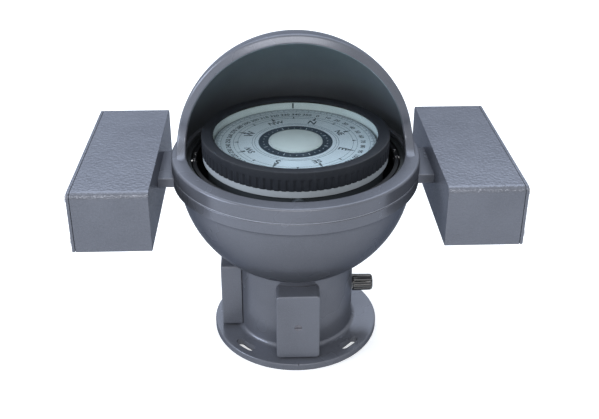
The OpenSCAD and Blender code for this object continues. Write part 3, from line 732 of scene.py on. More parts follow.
@dataclass(frozen=True)
class HoodLining(Finish):
    """Dark grey-green paint inside the hood, with painted shade near the rim and painted light under the
    crown.
    """

    painted_shade_colour: Colour = (0.06, 0.068, 0.078)
    painted_light_colour: Colour = (0.28, 0.35, 0.39)
    low_z: float = 172.0
    high_z: float = 250.0
    cloud_mm: float = 14.0

    def paint(self, tree: ShaderTree) -> None:
        """Grades the paint by the level from painted shade low down to painted light high up, and adds a
        faint grain.

        Args:
            tree: The material's tree.
        """
        _, _, z = tree.parts()
        cloud = tree.noise(0.03, 3.0)
        # Painted light and shade: by the level, the lining darkens towards the rim and pales towards the
        # crown.
        level = (z + cloud * self.cloud_mm - self.cloud_mm / 2).ramp(self.low_z, self.high_z)
        tree.surface(base_color=tree.blend(level, self.painted_shade_colour, self.painted_light_colour),
                     roughness=0.55 + cloud * 0.1, normal=tree.bump(tree.noise(1.2, 3.0), 0.03))


@dataclass(frozen=True)
class BowlEnamel(Finish):
    """Cream enamel on the bowl's ledge, dark grey below it and pale blue-white liner inside."""

    cream: Colour = (0.43, 0.47, 0.5)
    dark: Colour = (0.05, 0.06, 0.07)
    ledge_z: float = 161.6
    liner: Colour = (0.52, 0.58, 0.61)
    liner_r: float = 67.6
    liner_z: float = 134.5

    def paint(self, tree: ShaderTree) -> None:
        """Splits the colours by the distance from the bowl's axis and by the level.

        Args:
            tree: The material's tree.
        """
        x, y, z = tree.parts()
        square = x * x + y * y
        inside = 1 - square.ramp(self.liner_r ** 2, (self.liner_r + 0.3) ** 2)
        high = z.ramp(self.liner_z, self.liner_z + 0.2)
        cloud = tree.noise(0.08, 3.0)
        duller = tuple(value * 0.8 for value in self.cream)
        shade = tree.blend(cloud.ramp(0.35, 0.7) * 0.3, self.cream, duller)
        outside = tree.blend(z.ramp(self.ledge_z, self.ledge_z + 0.15), self.dark, shade)
        tree.surface(base_color=tree.blend(inside * high, outside, self.liner), roughness=0.42 + cloud * 0.12,
                     normal=tree.bump(tree.noise(1.1, 2.0), 0.02))


@dataclass(frozen=True)
class TurnedMetal(Finish):
    """Bare or plated metal with fine turning lines."""

    colour: Colour = (0.6, 0.6, 0.62)
    roughness: float = 0.28
    wear: float = 0.25

    def paint(self, tree: ShaderTree) -> None:
        """Mixes bright metal with duller, darker patches.

        Args:
            tree: The material's tree.
        """
        dull = tuple(value * (1 - self.wear) for value in self.colour)
        patch = tree.noise(0.35, 4.0)
        lines = tree.noise(2.5, 2.0, (1.0, 1.0, 4.0))
        tree.surface(base_color=tree.blend(patch.ramp(0.4, 0.7), self.colour, dull), metallic=1.0,
                     roughness=self.roughness + patch * 0.15, normal=tree.bump(lines, 0.012))


@dataclass(frozen=True)
class Moulded(Finish):
    """Moulded plastic or rubber."""

    colour: Colour = (0.02, 0.02, 0.022)
    roughness: float = 0.25
    grain_mm: float = 0.01
    sheen_patch: float = 0.12
    sheen: float = 0.5

    def paint(self, tree: ShaderTree) -> None:
        """Mixes the moulding's colour with faint handling marks.

        Args:
            tree: The material's tree.
        """
        marks = tree.noise(0.22, 5.0)
        pale = tuple(min(1.0, value * 1.35 + 0.004) for value in self.colour)
        tree.surface(base_color=tree.blend(marks.ramp(0.45, 0.8) * 0.6, self.colour, pale),
                     roughness=self.roughness + marks * self.sheen_patch, specular_ior_level=self.sheen,
                     normal=tree.bump(tree.noise(2.2, 2.0), self.grain_mm))


@dataclass(frozen=True)
class CardFilm(Finish):
    """The card's printed film: bluish white, a little greyer towards its rim."""

    colour: Colour = (0.46, 0.515, 0.585)
    rim_colour: Colour = (0.44, 0.5, 0.57)
    rim_r: float = 65.0

    def paint(self, tree: ShaderTree) -> None:
        """Shades the film by the distance from the card's axis.

        Args:
            tree: The material's tree.
        """
        x, y, _ = tree.parts()
        out = (x * x + y * y).ramp((self.rim_r * 0.6) ** 2, self.rim_r ** 2)
        cloud = tree.noise(0.06, 3.0)
        film = tree.blend(out, self.colour, self.rim_colour)
        shaded = tree.blend(cloud.ramp(0.4, 0.8) * 0.2, film, tuple(value * 0.9 for value in self.rim_colour))
        tree.surface(base_color=shaded, roughness=0.45 + cloud * 0.1,
                     normal=tree.bump(tree.noise(1.0, 1.0), 0.01))


@dataclass(frozen=True)
class OpalCap(Finish):
    """The card's pale centre lens, dotted round its edge."""

    colour: Colour = (0.47, 0.51, 0.53)
    dot_colour: Colour = (0.3, 0.34, 0.33)
    rim_r: float = 21.5
    dot_band_mm: float = 3.2

    def paint(self, tree: ShaderTree) -> None:
        """Strews small dark cells in a band along the rim.

        Args:
            tree: The material's tree.
        """
        x, y, _ = tree.parts()
        square = x * x + y * y
        band = square.ramp((self.rim_r - self.dot_band_mm) ** 2, (self.rim_r - 0.5) ** 2)
        dots = tree.cells(1.6).ramp(0.55, 0.7)
        cloud = tree.noise(0.12, 2.0)
        tree.surface(base_color=tree.blend(band * dots * 0.8, self.colour, self.dot_colour),
                     roughness=0.3 + cloud * 0.1, normal=tree.bump(tree.noise(0.8, 1.0), 0.01))


@dataclass(frozen=True)
class ClearGlass(Finish):
    """Smooth glass that lets the lamps' light through."""

    tint: Colour = (0.93, 0.98, 0.98)
    roughness: float = 0.0
    ior: float = 1.33

    def paint(self, tree: ShaderTree) -> None:
        """Sets clear glass, and plain transparency for shadow rays.

        Args:
            tree: The material's tree.
        """
        glass = tree.principled(base_color=self.tint, roughness=self.roughness, ior=self.ior,
                                transmission_weight=1.0)
        clear = tree.node("ShaderNodeBsdfTransparent", None, {"Color": self.tint}).outputs[0]
        tree.show(tree.mixed(tree.ray("Is Shadow Ray"), glass, clear))


CASTING = FlakeEnamel("flake_enamel_casting")
SHEET = FlakeEnamel("flake_enamel_sheet", (0.185, 0.195, 0.226), 0.18, 0.42)
COVER_SHEET = FlakeEnamel("flake_enamel_cover", (0.19, 0.2, 0.23), 0.35, 0.04)
MATT_BLACK = PlainPaint("matt_black_inside", (0.03, 0.035, 0.04), 0.62, 0.12, 0.03)
HOOD_LINING = HoodLining("hood_lining")
BEZEL_BLACK = Moulded("bezel_black", (0.022, 0.025, 0.031), 0.42, sheen=0.16)
GIMBAL_BLACK = PlainPaint("gimbal_black", (0.016, 0.017, 0.02), 0.4, 0.1)
KNOB_BLACK = Moulded("knob_black", (0.01, 0.01, 0.012), 0.08, 0.004, 0.06, sheen=0.9)
RUBBER = Moulded("black_rubber", (0.02, 0.02, 0.02), 0.7, 0.03)
# The seal is real, but its pale grey is a painted highlight: it shows as the thin light line at the parting
# between hood and housing.
SEAL_PAINTED_HIGHLIGHT = Moulded("seal_painted_highlight", (0.42, 0.44, 0.5), 0.6, 0.03)
SCREW_STEEL = TurnedMetal("screw_steel", (0.55, 0.55, 0.57), 0.3)
PIVOT_STEEL = TurnedMetal("pivot_steel", (0.78, 0.78, 0.8), 0.16, 0.12)
DARK_SCREW = TurnedMetal("dark_screw_steel", (0.16, 0.16, 0.18), 0.4)
SOFT_IRON = TurnedMetal("soft_iron_plate", (0.2, 0.2, 0.21), 0.5, 0.35)
BRASS = TurnedMetal("yellow_brass", (0.72, 0.52, 0.22), 0.26, 0.3)
LEAD = TurnedMetal("dull_lead", (0.24, 0.24, 0.26), 0.55, 0.25)
MAGNET_RED = PlainPaint("magnet_red", (0.42, 0.045, 0.035), 0.4)
MAGNET_GREY = PlainPaint("magnet_grey", (0.1, 0.11, 0.13), 0.4)
BOARD_WHITE = PlainPaint("board_white", (0.75, 0.76, 0.72), 0.5)
LENS_OPAL = Moulded("lens_opal", (0.8, 0.79, 0.7), 0.35)
FLOAT_CREAM = Moulded("float_cream", (0.6, 0.57, 0.48), 0.5)
DIMMER_GREEN = Moulded("dimmer_green", (0.07, 0.1, 0.07), 0.5)
JEWEL = Moulded("jewel_red", (0.4, 0.04, 0.07), 0.08)
INK_BLACK = PlainPaint("ink_black", (0.02, 0.024, 0.032), 0.5, 0.05, 0.0)
INK_NAVY = PlainPaint("ink_navy", (0.018, 0.028, 0.05), 0.45, 0.15, 0.0)
INK_PALE = PlainPaint("ink_pale", (0.6, 0.68, 0.74), 0.5, 0.05, 0.0)
BOWL_PAINT = BowlEnamel("bowl_cream_and_liner")
CARD_FILM = CardFilm("card_film_print_base")
OPAL = OpalCap("opal_centre_lens")
GLASS = ClearGlass("clear_glass_top")
FROSTED = ClearGlass("frosted_glass_lower", (0.92, 0.95, 0.9), 0.35)


def link(name: str, data: bpy.types.ID) -> bpy.types.Object:
    """Puts data into the scene as an object.

    Args:
        name: The object's name.
        data: Its mesh, curve, lamp or camera.

    Returns:
        The object.
    """
    made = bpy.data.objects.new(name, data)
    bpy.context.scene.collection.objects.link(made)
    return made


def aim(thing: bpy.types.Object, place: Vector, target: Vector) -> None:
    """Puts a lamp or the camera at a place and turns it to a target.

    Args:
        thing: The lamp or camera.
        place: Where it stands.
        target: The point that it faces.
    """
    thing.location = place
    thing.rotation_mode = "QUATERNION"
    thing.rotation_quaternion = (target - place).to_track_quat("-Z", "Y")


def settled(thing: bpy.types.Object) -> bpy.types.Mesh:
    """Gives the mesh that an object's modifiers or lettering come to."""
    bpy.context.view_layer.update()
    return bpy.data.meshes.new_from_object(thing.evaluated_get(bpy.context.evaluated_depsgraph_get()))


@dataclass
class Piece:
    """One modelled piece: its form, its finishes and the body that it rides on."""

    name: str
    form: Form
    body: str
    slot: str
    finishes: tuple[Finish, ...]
    replaces: tuple[str, ...] = ()
    cutters: tuple[Form, ...] = ()
    sharp_deg: float = 32.0

    def make(self) -> None:
        """Builds the piece in the scene."""
        made = link(self.name, self.form.mesh(self.name))
        for finish in self.finishes:
            made.data.materials.append(finish.material())
        if self.cutters:
            self._carve(made)
        made.data.shade_smooth()
        made.data.set_sharp_from_angle(angle=math.radians(self.sharp_deg))
        evened = made.modifiers.new("even_normals", "WEIGHTED_NORMAL")
        evened.keep_sharp = True
        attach(made, self.body)
        if self.replaces:
            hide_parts(*self.replaces)
        LOG.info("made %s with %d faces on %s", self.name, len(made.data.polygons), self.body)

    def _carve(self, made: bpy.types.Object) -> None:
        """Cuts the cutters out of the piece.

        Args:
            made: The piece's object.
        """
        helpers = []
        for number, cutter in enumerate(self.cutters):
            name = f"{self.name}_cutter_{number}"
            helper = link(name, cutter.mesh(name))
            change = made.modifiers.new(f"cut_{number}", "BOOLEAN")
            change.operation = "DIFFERENCE"
            change.solver = "EXACT"
            change.object = helper
            helpers.append(helper)
        carved = settled(made)
        made.modifiers.clear()
        made.data = carved
        for helper in helpers:
            bpy.data.objects.remove(helper)


def dress(finish: Finish, slot: str, *nodes: str) -> None:
    """Gives CAD nodes a finish.

    Args:
        finish: The finish.
        slot: The record's material slot that the nodes belong to; not used.
        nodes: The nodes' names.
    """
    for name in nodes:
        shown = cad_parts[name]
        shown.data.materials.clear()
        shown.data.materials.append(finish.material())
        LOG.info("dressed %s with %s", name, finish.name)


def span(node: str) -> tuple[Vector, Vector]:
    """Gives a CAD node's lowest and highest corners in millimetres."""
    low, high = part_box(node)
    return low / MM, high / MM


@dataclass
class Pedestal:
    """The flanged neck with the corrector magnets and their covers."""

    slot_circle_r: float = 61.0
    slot_w: float = 7.0
    slot_sweep_deg: float = 12.0
    neck_r: float = 48.5
    neck_wall: float = 5.0
    deck_t: float = 5.0
    flange_t: float = 6.0
    foot_round: float = 4.0
    cover_corner: float = 3.0
    cover_edge: float = 1.3
    cover_wall: float = 2.0
    cover_gap: float = 0.8
    cover_sink: float = 8.0
    pad_reach: float = 4.0
    pad_sink: float = 3.0
    pad_corner: float = 0.8
    screw_hole_r: float = 1.6
    screw_head_r: float = 3.35
    screw_head_t: float = 1.8
    screw_proud: float = 0.2
    slot_angles_deg: tuple[int, ...] = (45, 135, 225, 315)
    notch_size: Place = (1.4, 1.4, 1.2)
    spare: float = 5.0

    def build(self) -> None:
        """Makes the casting and both covers, and dresses what they hold."""
        self._casting()
        for facing in Facing:
            self._cover(facing)
        dress(DARK_SCREW, "screw_metal", "magnet_cover_screws", "housing_screws")
        dress(BRASS, "brass_bright", "fore_magnet_tubes", "side_magnet_tubes", "heeling_tube")
        dress(MAGNET_RED, "magnet_red", "fore_magnets", "side_magnets", "heeling_magnet")
        dress(FLOAT_CREAM, "cream_plastic", "heeling_carrier")

    def _casting(self) -> None:
        """Makes the neck, its flange and the pads behind the covers."""
        low, high = span("pedestal")
        flange_r = high.x
        inner_r = self.neck_r - self.neck_wall
        bore_r = span("heeling_tube")[1].x
        outline = rounded([
            Corner(inner_r, 0), Corner(flange_r, 0, 0.6), Corner(flange_r, self.flange_t, 1.2),
            Corner(self.neck_r, self.flange_t, self.foot_round), Corner(self.neck_r, high.z, 0.5),
            Corner(bore_r, high.z), Corner(bore_r, high.z - self.deck_t),
            Corner(inner_r, high.z - self.deck_t, 2)])
        form = Form().revolve(outline)
        for facing in Facing:
            form.join(self._pad(facing).spun(facing.turn))
        cutters = [self._slot_cutter(math.radians(angle)) for angle in self.slot_angles_deg]
        cutters.append(self._notch(flange_r))
        Piece("pedestal_casting", form, "binnacle", "grey_casting", (CASTING,), ("pedestal",),
              tuple(cutters)).make()

    def _cover_span(self, facing: Facing) -> tuple[float, float, float, float]:
        """Gives a cover's half width, reach from the axis, and lowest and highest level.

        Args:
            facing: The way that the cover faces.

        Returns:
            Half width, reach, low and high, in millimetres.
        """
        low, high = span(facing.node)
        if facing is Facing.FRONT:
            return high.x, -low.y, low.z, high.z
        return high.y, -low.x, low.z, high.z

    def _pad(self, facing: Facing) -> Form:
        """Draws the block that a cover slides over.

        Args:
            facing: The way that the cover faces.

        Returns:
            The block, turned to +X.
        """
        half, _, low, high = self._cover_span(facing)
        rim = self.cover_wall + self.cover_gap
        outline = rounded_box((-half + rim, low + rim), (half - rim, high - rim), (self.pad_corner,) * 4)
        back = self.neck_r - self.pad_sink
        return Form().extrude(outline, back, self.neck_r + self.pad_reach, high_round=0.5)

    def _slot_cutter(self, angle: float) -> Form:
        """Draws the body of one curved mounting slot.

        Args:
            angle: Where the slot's middle lies, in radians.

        Returns:
            The slot's body, taller than the flange.
        """
        half = self.slot_w / 2
        reach = math.radians(self.slot_sweep_deg) / 2
        outline: list[Point] = []
        for side, turn in ((1, 0.0), (-1, math.pi)):
            end = side * reach
            middle = (self.slot_circle_r * math.cos(end), self.slot_circle_r * math.sin(end))
            outline += arc(self.slot_circle_r + side * half, -end, end, 10)
            outline += arc(half, end + turn, end + turn + math.pi, 8, middle)[1:-1]
        return Form().extrude(outline, -1, self.flange_t + 1, Axis.Z).spun(angle)

    def _notch(self, flange_r: float) -> Form:
        """Draws the small alignment notch at the flange's front edge.

        Args:
            flange_r: The flange's radius.

        Returns:
            The notch's body.
        """
        length, width, depth = self.notch_size
        over = self.flange_t + 0.5
        mark = [(-width / 2, over), (0.0, self.flange_t - depth), (width / 2, over)]
        return Form().extrude(mark, -flange_r - 1, -flange_r + length, Axis.Y)

    def _cover(self, facing: Facing) -> None:
        """Makes one magnet cover.

        Args:
            facing: The way that the cover faces.
        """
        half, reach, low, high = self._cover_span(facing)
        wall = self.cover_wall
        back = self.neck_r - self.cover_sink
        outline = rounded_box((-half, low), (half, high), (self.cover_corner,) * 4)
        inner_corner = self.cover_corner - wall
        hollow = rounded_box((-half + wall, low + wall), (half - wall, high - wall), (inner_corner,) * 4)
        form = Form().extrude(outline, back, reach, high_round=self.cover_edge).spun(facing.turn)
        cavity = Form().extrude(hollow, back - 2, reach - wall).spun(facing.turn)
        neck_r = self.neck_r + self.cover_gap
        neck = Form().revolve(rectangle((0.0, low - self.spare), (neck_r, high + self.spare)))
        front = reach + self.screw_proud
        inner = reach - wall - 1
        screw = Form().revolve([
            (0.0, inner), (self.screw_hole_r, inner), (self.screw_hole_r, front - self.screw_head_t),
            (self.screw_head_r, front), (0.0, front)], Axis.X, 48).moved(Vector((0, 0, (low + high) / 2)))
        cutters = (cavity, neck, screw.spun(facing.turn))
        Piece(f"{facing.node}_shell", form, "binnacle", "hammered_sheet", (COVER_SHEET,), (facing.node,),
              cutters).make()


@dataclass
class Housing:
    """The round housing with its rim, seal and lamp."""

    sphere_r: float = 94.0
    wall: float = 4.5
    band_h: float = 9.5
    rim_bore_r: float = 83.5
    rim_out_r: float = 94.9
    rim_rise: float = 7.4
    hole_r: float = 8.0

    def build(self) -> None:
        """Makes the casting and dresses the pieces that belong to it."""
        low, high = span("housing")
        band_r = high.x
        band_top = high.z - self.rim_rise
        band_low = band_top - self.band_h
        seat_r = Pedestal.neck_r
        centre = low.z + math.sqrt(self.sphere_r ** 2 - seat_r ** 2)
        inner_r = self.sphere_r - self.wall
        floor = low.z + self.wall
        lip = centre - 2
        floor_angle = -math.acos(math.sqrt(inner_r ** 2 - (floor - centre) ** 2) / inner_r)
        lip_angle = math.asin((lip - centre) / inner_r)
        seat_angle = -math.acos(seat_r / self.sphere_r)
        band_angle = math.asin((band_low - centre) / self.sphere_r)
        inside = arc(inner_r, floor_angle, lip_angle, 40, (0, centre))
        outside = arc(self.sphere_r, band_angle - 0.02, seat_angle, 40, (0, centre))
        rim = rounded([
            Corner(self.rim_bore_r, lip), Corner(self.rim_bore_r, high.z, 0.6),
            Corner(self.rim_out_r, high.z, 0.5), Corner(self.rim_out_r, band_top),
            Corner(band_r, band_top, 0.8), Corner(band_r, band_low, 1.4),
            Corner(self.sphere_r + 0.3, band_low, 1.6), Corner(*outside[1])], closed=False)
        outline = [(self.hole_r, floor)] + inside + rim[:-1] + outside[1:] + [(self.hole_r, low.z)]
        form = Form().revolve(outline, mark_of=lambda middle: self._inside(middle, centre, high.z))
        Piece("housing_casting", form, "binnacle", "grey_casting", (CASTING, MATT_BLACK), ("housing",)).make()
        # Painted highlight: the pale seal gives the light line along the parting.
        dress(SEAL_PAINTED_HIGHLIGHT, "pale_rubber", "rim_gasket")
        dress(PIVOT_STEEL, "pivot_metal", "outer_pivot_screws")
        dress(BOARD_WHITE, "board_white", "lamp_board")
        dress(LENS_OPAL, "opal_plastic", "lamp_lens")
        dress(RUBBER, "black_rubber", "lamp_lead")

    def _inside(self, middle: Vector, centre: float, top: float) -> int:
        """Tells the black inside from the grey outside.

        Args:
            middle: A face's middle.
            centre: Level of the sphere's centre.
            top: Level of the rim's top.

        Returns:
            1 on the black inside and the rim's top, or 0.
        """
        across = math.hypot(middle.x, middle.y)
        rim = middle.z > top - self.rim_rise + 0.5 or across < self.rim_bore_r + 0.1 and middle.z > centre - 3
        shell = math.hypot(across, middle.z - centre) < self.sphere_r - self.wall + 0.5
        return int(rim or shell)


@dataclass
class Hood:
    """The half dome with its lip, feet and ring, one casting."""

    dome_r: float = 94.5
    wall: float = 4.5
    lip_w: float = 7.5
    lip_depth: float = 6.0
    lip_slant: float = 3.5
    lip_round: float = 2.8
    lip_inner_round: float = 1.4
    web_t: float = 3.6
    eye_r: float = 86.9
    skirt_r: float = 95.3
    leg_round: float = 20.0
    leg_flare: float = 2.2
    leg_heel: Point = (4.0, -0.6)
    root_round: float = 2.2
    root_steps: int = 96

    def build(self) -> None:
        """Makes the hood, grey outside and dark inside."""
        low, high = span("hood")
        seat = high.z - self.dome_r
        ring_r = high.x
        form = Form().join(self._dome(seat))
        form.join(self._ring(seat, ring_r, low.z))
        form.join(self._root(seat))
        for side in Side:
            form.join(self._leg().moved(Vector((0, 0, seat))).mirrored(side))
        Piece("hood_casting", form, "hood", "grey_casting", (CASTING, HOOD_LINING), ("hood",)).make()

    def _dome(self, seat: float) -> Form:
        """Draws the half dome and its lip.

        Args:
            seat: Level of the ring's top, where the dome's centre lies.

        Returns:
            The dome.
        """
        inner_r = self.dome_r - self.wall
        step_angle = math.asin(self.lip_depth / inner_r)
        outer = [Corner(*point) for point in arc(self.dome_r, math.radians(4), QUARTER, 44)]
        inner = [Corner(*point) for point in arc(inner_r, QUARTER, step_angle, 44)]
        eye_r = self.dome_r - self.lip_w
        corners = [Corner(eye_r, self.lip_depth, 1.5), Corner(eye_r, 0, self.lip_inner_round),
                   Corner(self.dome_r, self.lip_slant, self.lip_round)]
        outline = rounded(corners + outer + inner)

        def inside(middle: Vector) -> int:
            """Marks what lies inside the lip's front edge."""
            across = math.hypot(middle.x, middle.z)
            return int(math.hypot(across, middle.y) < inner_r + 0.5 and middle.y > 1.0)

        form = Form().revolve(outline, Axis.Y, 128, 0.0, math.pi, inside)
        return form.moved(Vector((0, 0, seat)))

    def _ring(self, seat: float, ring_r: float, low: float) -> Form:
        """Draws the ring that sits on the rim.

        Args:
            seat: Level of the ring's top.
            ring_r: The ring's outer radius.
            low: Level of the ring's lower edge.

        Returns:
            The ring.
        """
        under = seat - self.web_t
        outline = rounded([
            Corner(self.eye_r, under), Corner(self.eye_r, seat, 0.9), Corner(ring_r, seat, 2.0),
            Corner(ring_r, low, 0.7), Corner(self.skirt_r, low), Corner(self.skirt_r, under)])

        def inside(middle: Vector) -> int:
            """Marks the ring's inner faces below its top."""
            across = math.hypot(middle.x, middle.y)
            return int(middle.z < seat - 0.8 and across < ring_r - 1.0)

        return Form().revolve(outline, mark_of=inside)

    def _root(self, seat: float) -> Form:
        """Draws the hollow fillet where the dome meets the ring outside, thinner towards the legs.

        Args:
            seat: Level of the ring's top.

        Returns:
            The fillet.
        """
        rows = []
        for step in range(self.root_steps + 1):
            angle = math.pi * step / self.root_steps
            size = self.root_round * min(1.0, 0.15 + 5 * math.sin(angle))
            bend = arc(size, -QUARTER, -math.pi, 6, (self.dome_r + size, seat + size))
            outline = [(self.dome_r - 0.5, seat - 0.3), (self.dome_r + size, seat - 0.3), *bend]
            outline.append((self.dome_r - 0.5, seat + size))
            rows.append([Axis.Z.place(radius, height, angle) for radius, height in outline])
        return Form().loft(rows, caps=True)

    def _leg(self, steps: int = 18) -> Form:
        """Draws the hollow fillet that carries the right end of the lip down into the ring.

        Args:
            steps: Straight stretches along the fillet.

        Returns:
            The fillet, with the dome's centre at the origin.
        """
        heel = Vector(self.leg_heel)
        rows = []
        for step in range(steps + 1):
            angle = QUARTER * step / steps
            front = Vector((math.sin(angle) - 1, 1 - math.cos(angle))) * self.leg_round
            inward = Vector((math.sin(angle), -math.cos(angle)))
            section = self._lip_section(math.sin(angle))
            eye_r = section[-1][0]
            points = [(radius, front * (radius / eye_r) + inward * depth) for radius, depth in section]
            outside = [(section[0][0], heel.lerp(points[0][1], share)) for share in (0.0, 0.35, 0.7)]
            inside = [(points[-1][0], heel.lerp(points[-1][1], share)) for share in (0.7, 0.35, 0.0)]
            rows.append([self._on_sphere(radius, place) for radius, place in (*outside, *points, *inside)])
        return Form().loft(rows, caps=True)

    def _lip_section(self, height: float) -> list[Point]:
        """Draws the lip's front across its width, flatter and wider towards the ring.

        Args:
            height: 0 at the ring and 1 where the leg becomes the lip.

        Returns:
            Radii and depths behind the front, from the outside to the opening.
        """
        eye_r = self.dome_r - self.lip_w
        outer_r = self.dome_r + self.leg_flare * (1 - height) ** 2
        softness = self.lip_round * (0.2 + 0.8 * height)
        slant = self.lip_slant * height
        return rounded([
            Corner(outer_r, slant + softness + 0.2), Corner(outer_r, slant, softness),
            Corner(eye_r, 0, self.lip_inner_round), Corner(eye_r, self.lip_inner_round + 0.4)], closed=False)

    def _on_sphere(self, radius: float, place: Vector) -> Vector:
        """Puts a point on a sphere round the dome's centre, but not below the ring's web.

        Args:
            radius: The sphere's radius.
            place: The point's Y and Z.

        Returns:
            The point.
        """
        z = max(place.y, 0.4 - self.web_t)
        return Vector((math.sqrt(radius ** 2 - place.x ** 2 - z ** 2), place.x, z))


@dataclass
class CorrectorBox:
    """One soft iron box with its arm, cover, end plate and contents."""

    side: Side
    bend: float = 5.0
    wall: float = 2.0
    seam: float = 0.24
    edge: float = 0.5
    arm_root_r: float = 95.0
    arm_edges: tuple[float, ...] = (1.2, 1.2, 0.9, 0.9)

    def build(self) -> None:
        """Makes the cover, end plate and arm, and dresses the rest."""
        word = self.side.word
        low, high = self._right_span(f"corrector_cover_{word}")
        x_end = self._right_span(f"end_plate_{word}")[1].x
        outline = self._outline(low, high, 0)
        hollow = self._outline(low, high, self.wall)
        gap = self.seam / 2
        cover = Form().extrude(outline, low.x, high.x - gap, low_round=self.edge, high_round=self.edge)
        cavity = Form().extrude(hollow, low.x + self.wall, high.x + 1)
        Piece(f"box_cover_{word}", cover.mirrored(self.side), "binnacle", "hammered_sheet", (SHEET,),
              (f"corrector_cover_{word}",), (cavity.mirrored(self.side),)).make()
        plate = Form().extrude(outline, high.x + gap, x_end, low_round=self.edge, high_round=self.edge * 1.4)
        Piece(f"box_end_plate_{word}", plate.mirrored(self.side), "binnacle", "hammered_sheet", (SHEET,),
              (f"end_plate_{word}",)).make()
        self._arm()
        dress(SHEET, "hammered_sheet", f"corrector_base_{word}")
        dress(SOFT_IRON, "soft_iron", f"soft_iron_{word}")
        dress(SCREW_STEEL, "screw_metal", f"clamp_bolts_{word}")

    def _right_span(self, node: str) -> tuple[Vector, Vector]:
        """Gives a node's corners as if it stood on the right side.

        Args:
            node: The CAD node.

        Returns:
            Lowest and highest corner, in millimetres.
        """
        low, high = span(node)
        if self.side is Side.LEFT:
            low.x, high.x = -high.x, -low.x
        return low, high

    def _outline(self, low: Vector, high: Vector, shrink: float) -> list[Point]:
        """Draws the box's side view.

        Args:
            low: The cover's lowest corner.
            high: The cover's highest corner.
            shrink: Distance of the sides and top inwards; the bottom then drops below the box.

        Returns:
            Y and Z points, counterclockwise.
        """
        bend = self.bend - shrink
        first = (low.y + shrink, low.z - (1 if shrink else 0))
        last = (high.y - shrink, high.z - shrink)
        return rounded_box(first, last, (0, 0, bend, bend), 8)

    def _arm(self) -> None:
        """Makes the bracket between the rim and the box."""
        word = self.side.word
        low, high = self._right_span(f"arm_{word}")
        outline = rounded_box((low.y, low.z), (high.y, high.z), self.arm_edges, 3)
        form = Form().extrude(outline, self.arm_root_r, high.x)
        Piece(f"arm_bracket_{word}", form.mirrored(self.side), "binnacle", "grey_casting", (CASTING,),
              (f"arm_{word}",)).make()


@dataclass
class Dimmer:
    """The lamp's dimmer with its knob."""

    flutes: int = 12
    flute_depth: float = 0.75
    flute_share: float = 0.62
    bore_r: float = 3.1
    back_r: float = 6.4
    face_t: float = 4.0

    def build(self) -> None:
        """Makes the knob and dresses the shaft, body and nut."""
        low, high = span("dimmer_knob")
        radius = (high.z - low.z) / 2
        middle = (high.z + low.z) / 2
        depth = self.flute_depth
        face = high.x - self.face_t
        stations = [
            (self.bore_r, low.x, 0), (self.back_r, low.x, 0), (radius - 0.5, low.x, 0),
            (radius, low.x + 0.5, 0), (radius, low.x + 1.0, 0), (radius - 0.05, low.x + 1.4, depth),
            (radius - 0.3, high.x - 2.2, depth), (radius - 0.5, high.x - 1.3, depth * 0.8),
            (radius - 0.95, high.x - 0.6, depth * 0.4), (radius - 1.7, high.x - 0.1, 0),
            (radius - 2.3, high.x, 0), (0.0, high.x, 0), (0.0, face, 0), (self.bore_r, face, 0)]
        form = Form().flute(stations, self.flutes, Axis.X, self.flute_share, 12)
        form.moved(Vector((0, 0, middle)))
        Piece("dimmer_knob_moulding", form, "dimmer", "black_plastic", (KNOB_BLACK,), ("dimmer_knob",)).make()
        dress(SCREW_STEEL, "screw_metal", "dimmer_shaft", "dimmer_nut")
        dress(DIMMER_GREEN, "dimmer_plastic", "dimmer_body")


@dataclass
class GimballedBowl:
    """The liquid bowl in its gimbal ring."""

    bezel_flutes: int = 84
    flute_depth: float = 0.8
    bowl_seat_r: float = 70.6
    window_r: float = 65.2
    grip_drop: float = 6.0
    glass_drop: float = 2.0

    def build(self) -> None:
        """Makes the bezel and dresses the rest of the bowl."""
        self._bezel()
        dress(BOWL_PAINT, "cream_metal", "bowl_body")
        dress(GIMBAL_BLACK, "black_metal", "gimbal_ring")
        dress(PIVOT_STEEL, "pivot_metal", "inner_pivot_screws", "pivot_lock_screws", "pivot_pin")
        dress(GLASS, "clear_glass", "top_glass")
        dress(FROSTED, "frosted_glass", "lower_glass")
        dress(RUBBER, "black_rubber", "top_gasket")
        dress(INK_BLACK, "line_black", "lubber_line")
        dress(BRASS, "brass_bright", "filler_plug", "lower_glass_ring", "diaphragm", "pivot_bridge")
        dress(LEAD, "ballast_lead", "ballast_ring")

    def _bezel(self) -> None:
        """Makes the fluted bezel ring."""
        low, high = span("bezel_ring")
        radius = high.x
        grip = high.z - self.grip_drop
        glass = high.z - self.glass_drop
        depth = self.flute_depth
        stations = [
            (self.bowl_seat_r, low.z, 0), (radius - 0.3, low.z, depth), (radius, low.z + 0.3, depth),
            (radius, grip - 1.2, depth), (radius, grip - 0.3, depth * 0.4), (radius, grip, 0),
            (radius, high.z - 1.2, 0), (radius - 0.35, high.z - 0.4, 0), (radius - 1.2, high.z, 0),
            (self.window_r + 2.2, high.z, 0), (self.window_r + 1.4, high.z - 0.3, 0),
            (self.window_r, glass + 0.5, 0), (self.window_r, glass, 0), (self.bowl_seat_r, glass, 0)]
        form = Form().flute(stations, self.bezel_flutes, Axis.Z, 0.5, 8)
        Piece("bezel_ring_grip", form, "bowl", "black_metal", (BEZEL_BLACK,), ("bezel_ring",)).make()


